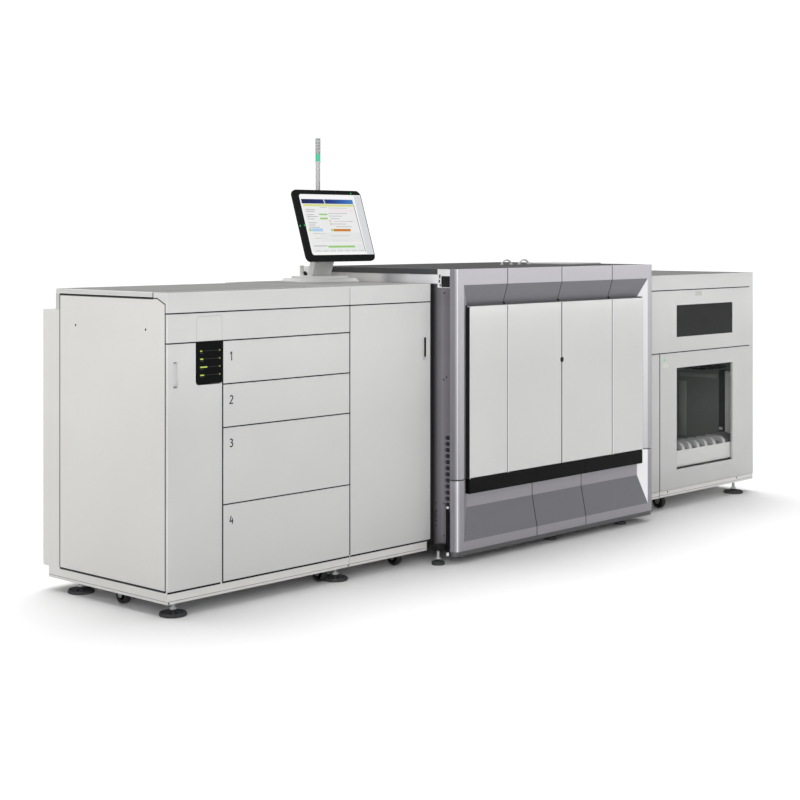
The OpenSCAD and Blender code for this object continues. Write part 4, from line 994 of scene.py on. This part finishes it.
# ---------------------------------------------------------------- cabinets' small fittings

(_, _, plinth_z0), (_, _, plinth_z1) = box_of("plinths")
_, (_, _, upper_z1) = box_of("stacker_upper_pane")
STACKER_PLINTH_Z0 = 61

# The lamp in its plate on the stacker's door, and the bare plate above the window
x, z = stacker_door_x, stacker_door_z1
slab("door_lamp", "stacker_door", GREEN_LAMP, (x + 30, -PROUD, z - 40), (x + 48, 0.6, z - 31), 0.3,
     body="stacker_door")
slab("door_lamp_plate", "stacker_door", paint("pale_plate", "#D6D6CF", rough=0.35), (x + 24, -PROUD, z - 72),
     (x + 72, 0.2, z - 49), 0.1, body="stacker_door")
slab("upper_plate", "stacker_fronts", paint("bare_plate", "#C4C4C2", rough=0.35),
     (3381, -PROUD, upper_z1 + 42), (3441, 0.3, upper_z1 + 64), 0.12)
dots = Shape()
for x in (stacker_door_x + 68, stacker_x1 - 160):
    dots.rod((x, 2.8, plinth_z1 - 6), 9, 0.9, "y", 0.2)
for x in (3.6, input_x1 - 9):
    dots.block((x, 2.6, plinth_z0 + 2), (x + 6, 3.2, plinth_z0 + 8), 0.2)
for z in (903, 187):
    dots.block((input_x1 + 0.2, 0.2, z - 5), (transfer_x0 - 0.2, 3, z + 5))
dots.finish("plinth_dots", "plinths", BLACK)
# Painted shade: a dark line in the joint between the stacker's door and its plinth
slab("plinth_joint_shade", "plinths", SEAM_GREY, (stacker_door_x - SEAM, 2.7, STACKER_PLINTH_Z0 + 1),
     (stacker_door_x - 1, 3.2, plinth_z1))

# Pieces that close the stacker's seams before its right edge
seam_ends = Shape()
for z in (DOOR_TOP_Z, TOP_SEAM_Z):
    seam_ends.block((stacker_x1 - SEAM_STOP, 0.05, z - SEAM / 2 + 0.05),
                    (stacker_x1 - 1, SKIN_T, z + SEAM / 2 - 0.05))
seam_ends.finish("seam_ends", "stacker_fronts", STACKER, smooth=0)

lips = Shape()
for x0, x1, z in ((0, input_x1, plinth_z0), (transfer_x0, PLINTH_END_X, plinth_z0),
                  (stacker_x0, stacker_x1, STACKER_PLINTH_Z0)):
    lips.block((x0 + 1, 2.7, z + 9), (x1 - 1, 3.2, z + 11))
lips.block((-PROUD, 6, plinth_z0 + 9), (0.4, 712, plinth_z0 + 11))
lips.finish("plinth_lips", "plinths", paint("lip_shadow", "#8A8A89", rough=0.7), smooth=0)

# The fine line of the inlay above the drawers, with round upper corners
CORNER = 9
inlay = Shape()
inlay_x0, inlay_x1, inlay_z = panel_x0, panel_x1 - 2, DRAWER_TOP_Z + 92
inlay.ribbon([(inlay_x0, DRAWER_TOP_Z + 3)] + arc(inlay_x0 + CORNER, inlay_z - CORNER, CORNER, 180, 90, 4)
             + arc(inlay_x1 - CORNER, inlay_z - CORNER, CORNER, 90, 0, 4) + [(inlay_x1, DRAWER_TOP_Z + 3)],
             1.6, -0.12, 0.3)
inlay.finish("front_inlay", "input_fronts", paint("inlay_line", "#B4B4B2", rough=0.5))

# Marks in the grips of the input and transfer doors
GRIP_INSET = 26
grip_ends = Shape()
for z in (812, 901):
    grip_ends.block((GRIP_INSET + 3, 2, z - 2.5), (GRIP_INSET + 16, 8, z + 2.5), 0.5)
grip_ends.finish("grip_marks", "input_door", paint("grip_shadow", "#6E6F70", rough=0.7), "input_door")
grip_line = Shape().block((transfer_x1 - GRIP_INSET - 4, 1, 849), (transfer_x1 - GRIP_INSET - 1, 8, 929))
grip_line.finish("transfer_grip_line", "transfer_door", BLACK, "transfer_door")

# Backs: the joints between plain rear panels, and the screws down their sides
back_joints = Shape()
back_screws = Shape()
REAR_PANELS = {"input_back_box": 2, "transfer_cabinet": 1, "engine_core": 4, "stacker_walls": 3}
for node, columns in REAR_PANELS.items():
    (x0, _, z0), (x1, y1, z1) = box_of(node)
    wide = (x1 - x0) / columns
    for k in range(columns):
        left, right = x0 + k * wide, x0 + (k + 1) * wide
        if k:
            back_joints.block((left - 1.5, y1 - 0.3, z0 + 12), (left + 1.5, y1 + PROUD, z1 - 12))
        for x in (left + 18, right - 18):
            for z in (z0 + 30, (z0 + z1) / 2, z1 - 30):
                back_screws.rod((x, y1 + PROUD, z), 11, 0.9, "y", 0.2)
    for z in (z0 + 12, z1 - 12):
        back_joints.block((x0 + 6, y1 - 0.3, z - 1.5), (x1 - 6, y1 + PROUD, z + 1.5))
back_joints.finish("back_joints", "stacker_walls", SEAM_GREY, smooth=0)
back_screws.finish("back_screws", "stacker_walls", ZINC)

# Inner wall of the stacker: column and rail, dark channel, pale facing, dark gaps of painted shade and two
# catches.
# Each block runs from and to a distance off the wall, a depth and a height.
_, (lining_x1, _, _) = box_of("stacker_lining")
wall_x = lining_x1 - 8
INNER_FITTINGS = [
    ("stacker_guides", "stacker_lining", paint("guide_grey", "#9A9E9A", rough=0.5), 2,
     [(7, 397, 256, 0, 441, 553), (9, 200, 581, 0, 438, 600)]),
    ("stacker_channel", "stacker_lining", DARK_LINING, 0, [(3, 161, 300, 0, 192, 627)]),
    ("stacker_wall_facing", "stacker_lining", paint("facing_grey", "#F0F0EE", rough=0.5), 0.5,
     [(2, 20, 300, 0, 58, 634)]),
    ("stacker_gap_shade", "stacker_lining", DARK_GAP, 0,
     [(6, 151, 303, 0, 161, 629), (200, 150.5, 640, 0, 600, 652)]),
    ("stacker_catch", "stacker_rack", WHITE, 1.5, [(14, 168, 308, 3, 184, 322), (26, 96, 606, 9, 140, 616)]),
]
for name, slot, material, edge, blocks in INNER_FITTINGS:
    shape = Shape()
    for out0, y0, z0, out1, y1, z1 in blocks:
        shape.block((wall_x - out0, y0, z0), (wall_x - out1, y1, z1), edge)
    shape.finish(name, slot, material, smooth=SHARP if edge else 0)

# Console: the small bracket and knob beside the neck
(_, _, stand_z0), _ = box_of("console_stand")
bracket = Shape()
for y, top in ((566, 70), (552, 28)):
    bracket.block((1181, y, stand_z0 + 24), (1203, 570, stand_z0 + top), 1)
bracket.finish("console_bracket", "console_stand", WHITE)
knob = Shape().rod((1192, 554, stand_z0 + 40), 11, 12, "y", 2)
knob.finish("console_knob", "console_stand", BLACK)

# ---------------------------------------------------------------- camera, floor and light

scene = bpy.context.scene
camera_data = bpy.data.cameras.new("camera")
camera_data.sensor_width = 36
camera_data.lens = 73.84
camera_data.shift_y = -0.211
camera_data.clip_end = 200
camera = bpy.data.objects.new("camera", camera_data)
camera.location = (-5.640, -4.868, 1.367)
camera.rotation_euler = (math.radians(90), 0, math.radians(-47.03))
scene.collection.objects.link(camera)
scene.camera = camera

floor_mesh = bpy.data.meshes.new("floor")
REACH = 60
floor_mesh.from_pydata([(-REACH, -REACH, 0), (REACH, -REACH, 0), (REACH, REACH, 0), (-REACH, REACH, 0)], [],
                       [(0, 1, 2, 3)])
floor = bpy.data.objects.new("floor", floor_mesh)
scene.collection.objects.link(floor)
floor_mesh.materials.append(paint("floor_white", "#FAFAFA", rough=0.8, tone=0.004))

# A white surround that only the camera sees, so that it adds no light of its own
DOME_R = 55
dome_mesh = bmesh.new()
bmesh.ops.create_icosphere(dome_mesh, subdivisions=4, radius=DOME_R)
surround = bpy.data.meshes.new("surround")
dome_mesh.to_mesh(surround)
dome_mesh.free()
surround.materials.append(lit("surround_white", "#FFFFFF", 1.02, tone=0.002, body=0.0))
dome = bpy.data.objects.new("surround", surround)
scene.collection.objects.link(dome)
dome.visible_diffuse = dome.visible_glossy = dome.visible_transmission = dome.visible_shadow = False

world = bpy.data.worlds.new("world")
world.use_nodes = True
background = world.node_tree.nodes["Background"].inputs
background["Color"].default_value = (1, 1, 1, 1)
background["Strength"].default_value = 0.22
scene.world = world
scene.view_settings.view_transform = "Standard"


def soft_sun(name, towards, power, spread):
    """A broad, even light that shines along a direction."""
    data = bpy.data.lights.new(name, "SUN")
    data.energy = power * math.pi
    data.angle = math.radians(spread)
    sun = bpy.data.objects.new(name, data)
    sun.rotation_euler = Vector(towards).to_track_quat("-Z", "Y").to_euler()
    scene.collection.objects.link(sun)


soft_sun("overhead", (-0.20, -0.27, -1.0), 0.88, 50)
soft_sun("front_fill", (0.70, 0.66, -0.16), 0.645, 60)
